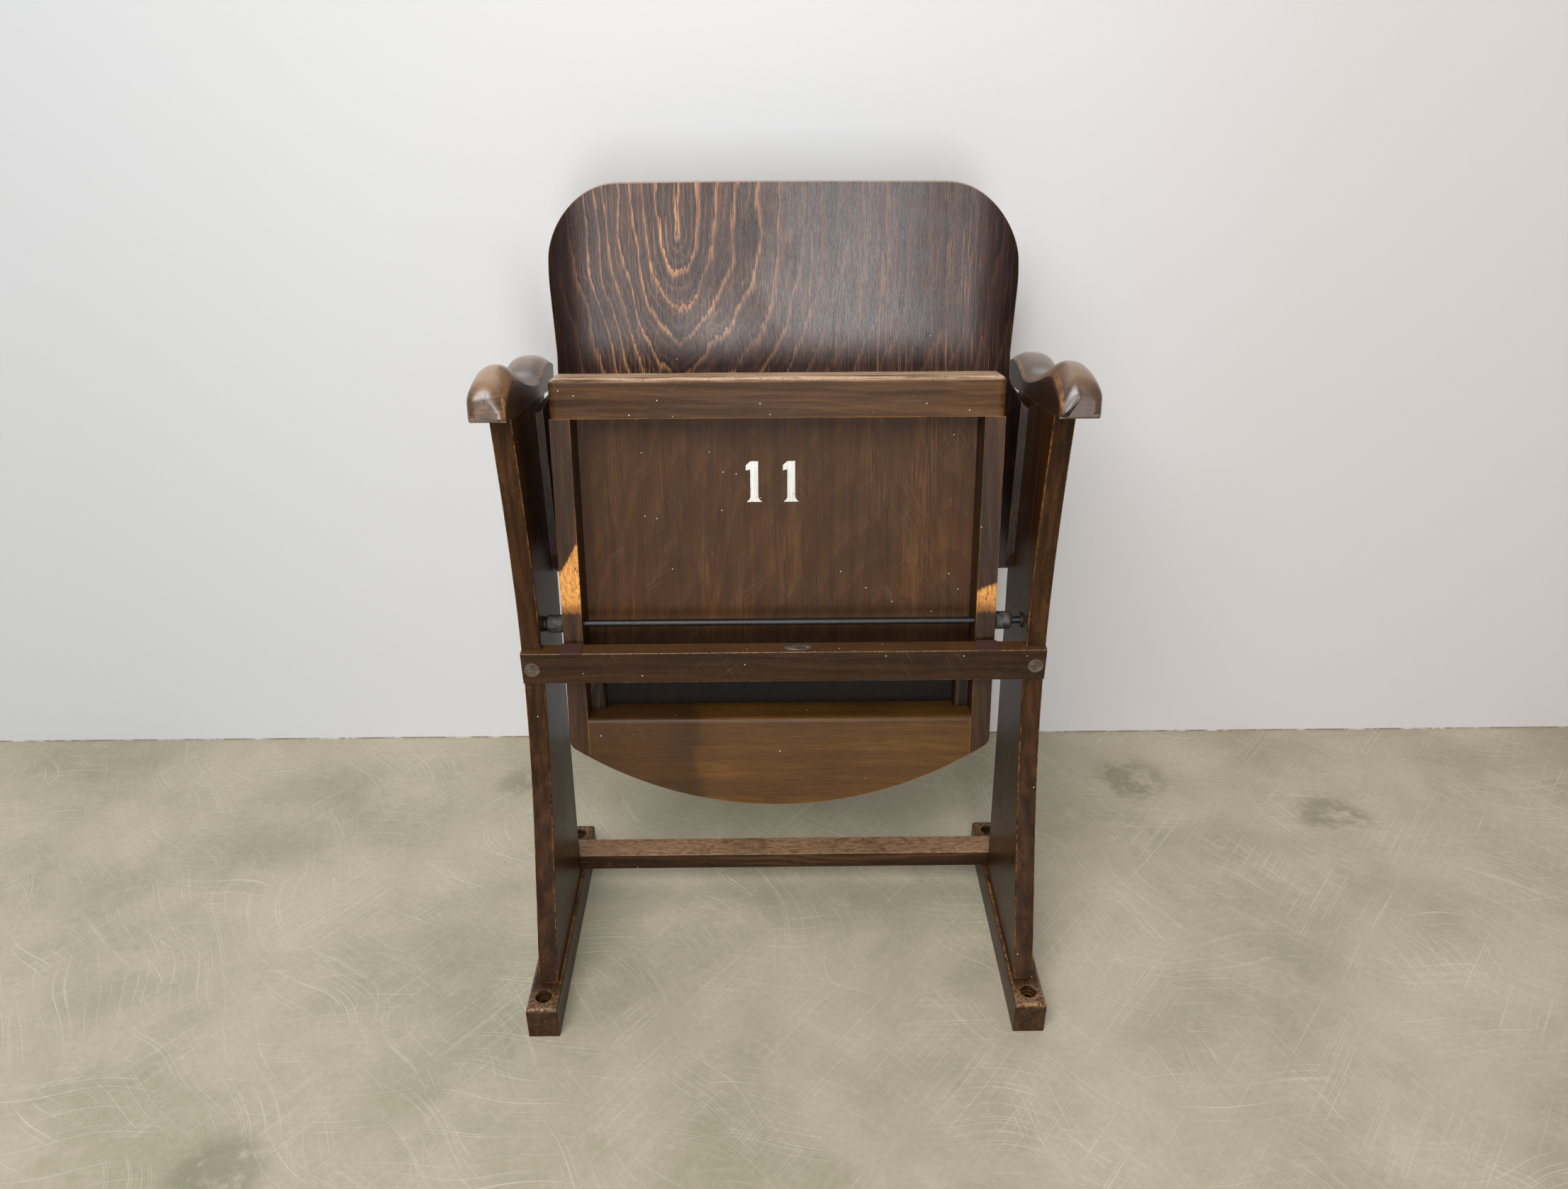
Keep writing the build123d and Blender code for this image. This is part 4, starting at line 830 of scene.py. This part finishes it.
# ---- floor, wall and light ----------------------------------------------------------------------
def floor_material():
    """Worn pale floor with long bent scratches and a few torn stains."""
    g = Graph("pale_floor")
    point = g.place(*UPRIGHT)
    cloud = g.noise(g.stretch(point, 0.004), 5.0, 0.6)
    fine = g.noise(g.stretch(point, 0.15), 4.0)
    patchy = g.noise(g.stretch(point, 0.015), 5.0, 0.7)
    tone = g.mix(g.rise(cloud, 0.3, 0.7), FLOOR_COLOUR, FLOOR_WORN)
    tone = g.mix(g.times(g.rise(patchy, 0.50, 0.64), 0.35), tone, FLOOR_WORN)
    bend = g.times(g.noise(g.stretch(point, 0.004), 1.0), 120.0)
    bent = g.vector("ADD", point, g.add("CombineXYZ", {0: bend, 1: bend}))
    for turn in SCRATCH_TURNS:
        spin = {"Vector": bent, "Center": (turn * 900.0, 0.0, 0.0), "Angle": turn}
        turned = g.add("VectorRotate", spin, rotation_type="Z_AXIS")
        lines = g.noise(g.stretch(turned, 0.70, 0.0040, 1.0), 2.0)
        patch = g.noise(g.stretch(turned, 0.008, 0.005, 1.0), 3.0)
        scratch = g.times(g.rise(lines, 0.62, 0.67), g.rise(patch, 0.38, 0.60))
        tone = g.mix(g.times(scratch, 0.36), tone, FLOOR_SCRATCH)
    torn = g.scaled(patchy, 90.0, -45.0)
    blotched = g.vector("ADD", point, g.add("CombineXYZ", {0: torn, 1: torn}))
    stain = g.specks(g.stretch(blotched, 1.0, 1.0, 0.0), STAIN_SPACING, STAIN_SIZE, 0.5)
    tone = g.mix(g.times(stain, g.rise(patchy, 0.40, 0.54), 0.5), tone, FLOOR_STAIN)
    return g.shader(g.dimmed(tone, g.scaled(fine, 0.30, 0.85)), 0.6, fine, 0.2)


def wall_material():
    """Pale wall with painted shade towards its left and right and a dark joint at its foot, which can't
    be seen from behind.
    """
    g = Graph("pale_wall")
    point = g.place(*UPRIGHT)
    x, _, z = g.parts(point)
    fine = g.noise(g.stretch(point, 0.01), 4.0)
    torn = g.noise(g.stretch(point, 0.03), 4.0, 0.7)
    # Painted shade: the wall darker towards its left, and darker and warmer in tone towards its right.
    tone = g.mix(g.rise(x, *WALL_LEFT_SHADE_TO), WALL_LEFT_SHADE, WALL_COLOUR)
    tone = g.mix(g.rise(x, *WALL_RIGHT_SHADE_FROM), tone, WALL_RIGHT_SHADE)
    tone = g.mix(g.times(fine, 0.06), tone, FLOOR_WORN)
    foot = g.rise(z, WALL_LINE_HEIGHT, 0.5 * WALL_LINE_HEIGHT)
    tone = g.mix(g.times(foot, g.rise(torn, 0.35, 0.55), 0.8), tone, WALL_LINE)
    front = g.add("BsdfPrincipled", {"Base Color": tone, "Roughness": 0.8})
    behind = g.add("NewGeometry", {}, "Backfacing")
    return g.done(g.add("MixShader", {0: behind, 1: front, 2: g.add("BsdfTransparent", {})}))


def stage_sheet(name, corners, material):
    """A flat rectangle that belongs to the picture and not to the object."""
    mesh = bpy.data.meshes.new(name)
    mesh.from_pydata(corners, [], [(0, 1, 2, 3)])
    mesh.materials.append(material)
    piece = bpy.data.objects.new(name, mesh)
    bpy.context.scene.collection.objects.link(piece)


def add_stage():
    half, top = STAGE_HALF, WALL_HEIGHT
    floor = [(-half, -half, 0), (half, -half, 0), (half, half, 0), (-half, half, 0)]
    wall = [(-half, WALL_Y, 0), (half, WALL_Y, 0), (half, WALL_Y, top), (-half, WALL_Y, top)]
    stage_sheet("floor", floor, floor_material())
    stage_sheet("wall", wall, wall_material())


def area_light(name, at, towards, size, power):
    data = bpy.data.lights.new(name, "AREA")
    data.shape = "RECTANGLE"
    data.size, data.size_y = size
    data.energy = power
    lamp = bpy.data.objects.new(name, data)
    lamp.location = at
    aim = Vector(towards) - Vector(at)
    lamp.rotation_euler = aim.to_track_quat("-Z", "Y").to_euler()
    bpy.context.scene.collection.objects.link(lamp)


def add_light():
    world = bpy.data.worlds.new("soft_surround")
    world.use_nodes = True
    sky = world.node_tree.nodes["Background"]
    sky.inputs["Color"].default_value = SKY_COLOUR
    sky.inputs["Strength"].default_value = SKY_STRENGTH
    bpy.context.scene.world = world
    for lamp in LAMPS:
        area_light(*lamp)


def add_camera():
    """The camera that took the photograph."""
    data = bpy.data.cameras.new("camera")
    data.sensor_width = SENSOR
    data.lens = FOCAL_PIXELS / PHOTO_WIDTH * SENSOR
    camera = bpy.data.objects.new("camera", data)
    bpy.context.scene.collection.objects.link(camera)
    look = LOOK.normalized()
    right = (RIGHT - look * RIGHT.dot(look)).normalized()
    up = right.cross(look)
    turn = Matrix((right, up, -look)).transposed().to_4x4()
    camera.matrix_world = Matrix.Translation(CAMERA_AT) @ turn
    bpy.context.scene.camera = camera


def dress():
    """Gives every piece its material and carves the armrests."""
    lay(panel_wood("left_panel_wood", (150.0, -330.0)), "left_side_panel")
    lay(panel_wood("right_panel_wood", (120.0, 350.0)), "right_side_panel")
    carve_armrest("left", -1, arm_wood("left_arm_wood", -1, ARM_BROWN, 0.65))
    carve_armrest("right", 1, arm_wood("right_arm_wood", 1, ARM_DARK, 0.35))
    lay(foot_wood(), "left_foot", "right_foot")
    lay(bar_wood(), "front_rail")
    lay(stretcher_wood(), "rear_stretcher")
    lay(backrest_wood(), "backrest")
    lay(seat_ply(), "seat_panel")
    lay(nose_wood(), "seat_front_rail")
    lay(seat_rail_wood("seat_left_wood", *LEFT_RAIL_WORN), "seat_left_rail")
    lay(seat_rail_wood("seat_right_wood", *RIGHT_RAIL_WORN), "seat_right_rail")
    lay(block_wood(), "counterweight_block")
    lay(glue_block_painted_shade(), "seat_corner_blocks")
    lay(dowel_wood(), "armrest_dowels", "seat_rail_dowels", "counterweight_dowels")
    lay(rod_paint(), "pivot_rod")
    lay(rubber(), "left_bush", "right_bush")
    lay(leather(), "left_landing_pad", "right_landing_pad")
    dark_steel = metal("dark_steel", DARK_STEEL, DARK_STEEL_WORN, 0.45)
    lay(metal("brown_steel", BROWN_STEEL, BROWN_STEEL_WORN, 0.5), "front_rail_screws")
    lay(dark_steel, "backrest_screws", "foot_screws", "stretcher_screws")
    lay(dark_steel, "left_pivot_socket", "right_pivot_socket", "left_rail_sleeve", "right_rail_sleeve")
    lay(dark_steel, "counterweight_bar")
    lay(metal("plate_metal", PLATE_METAL, PLATE_METAL_WORN, 0.35), "oval_plate", "oval_plate_pins")


dress()
add_stage()
add_light()
add_camera()
bpy.context.scene.view_settings.view_transform = "Standard"
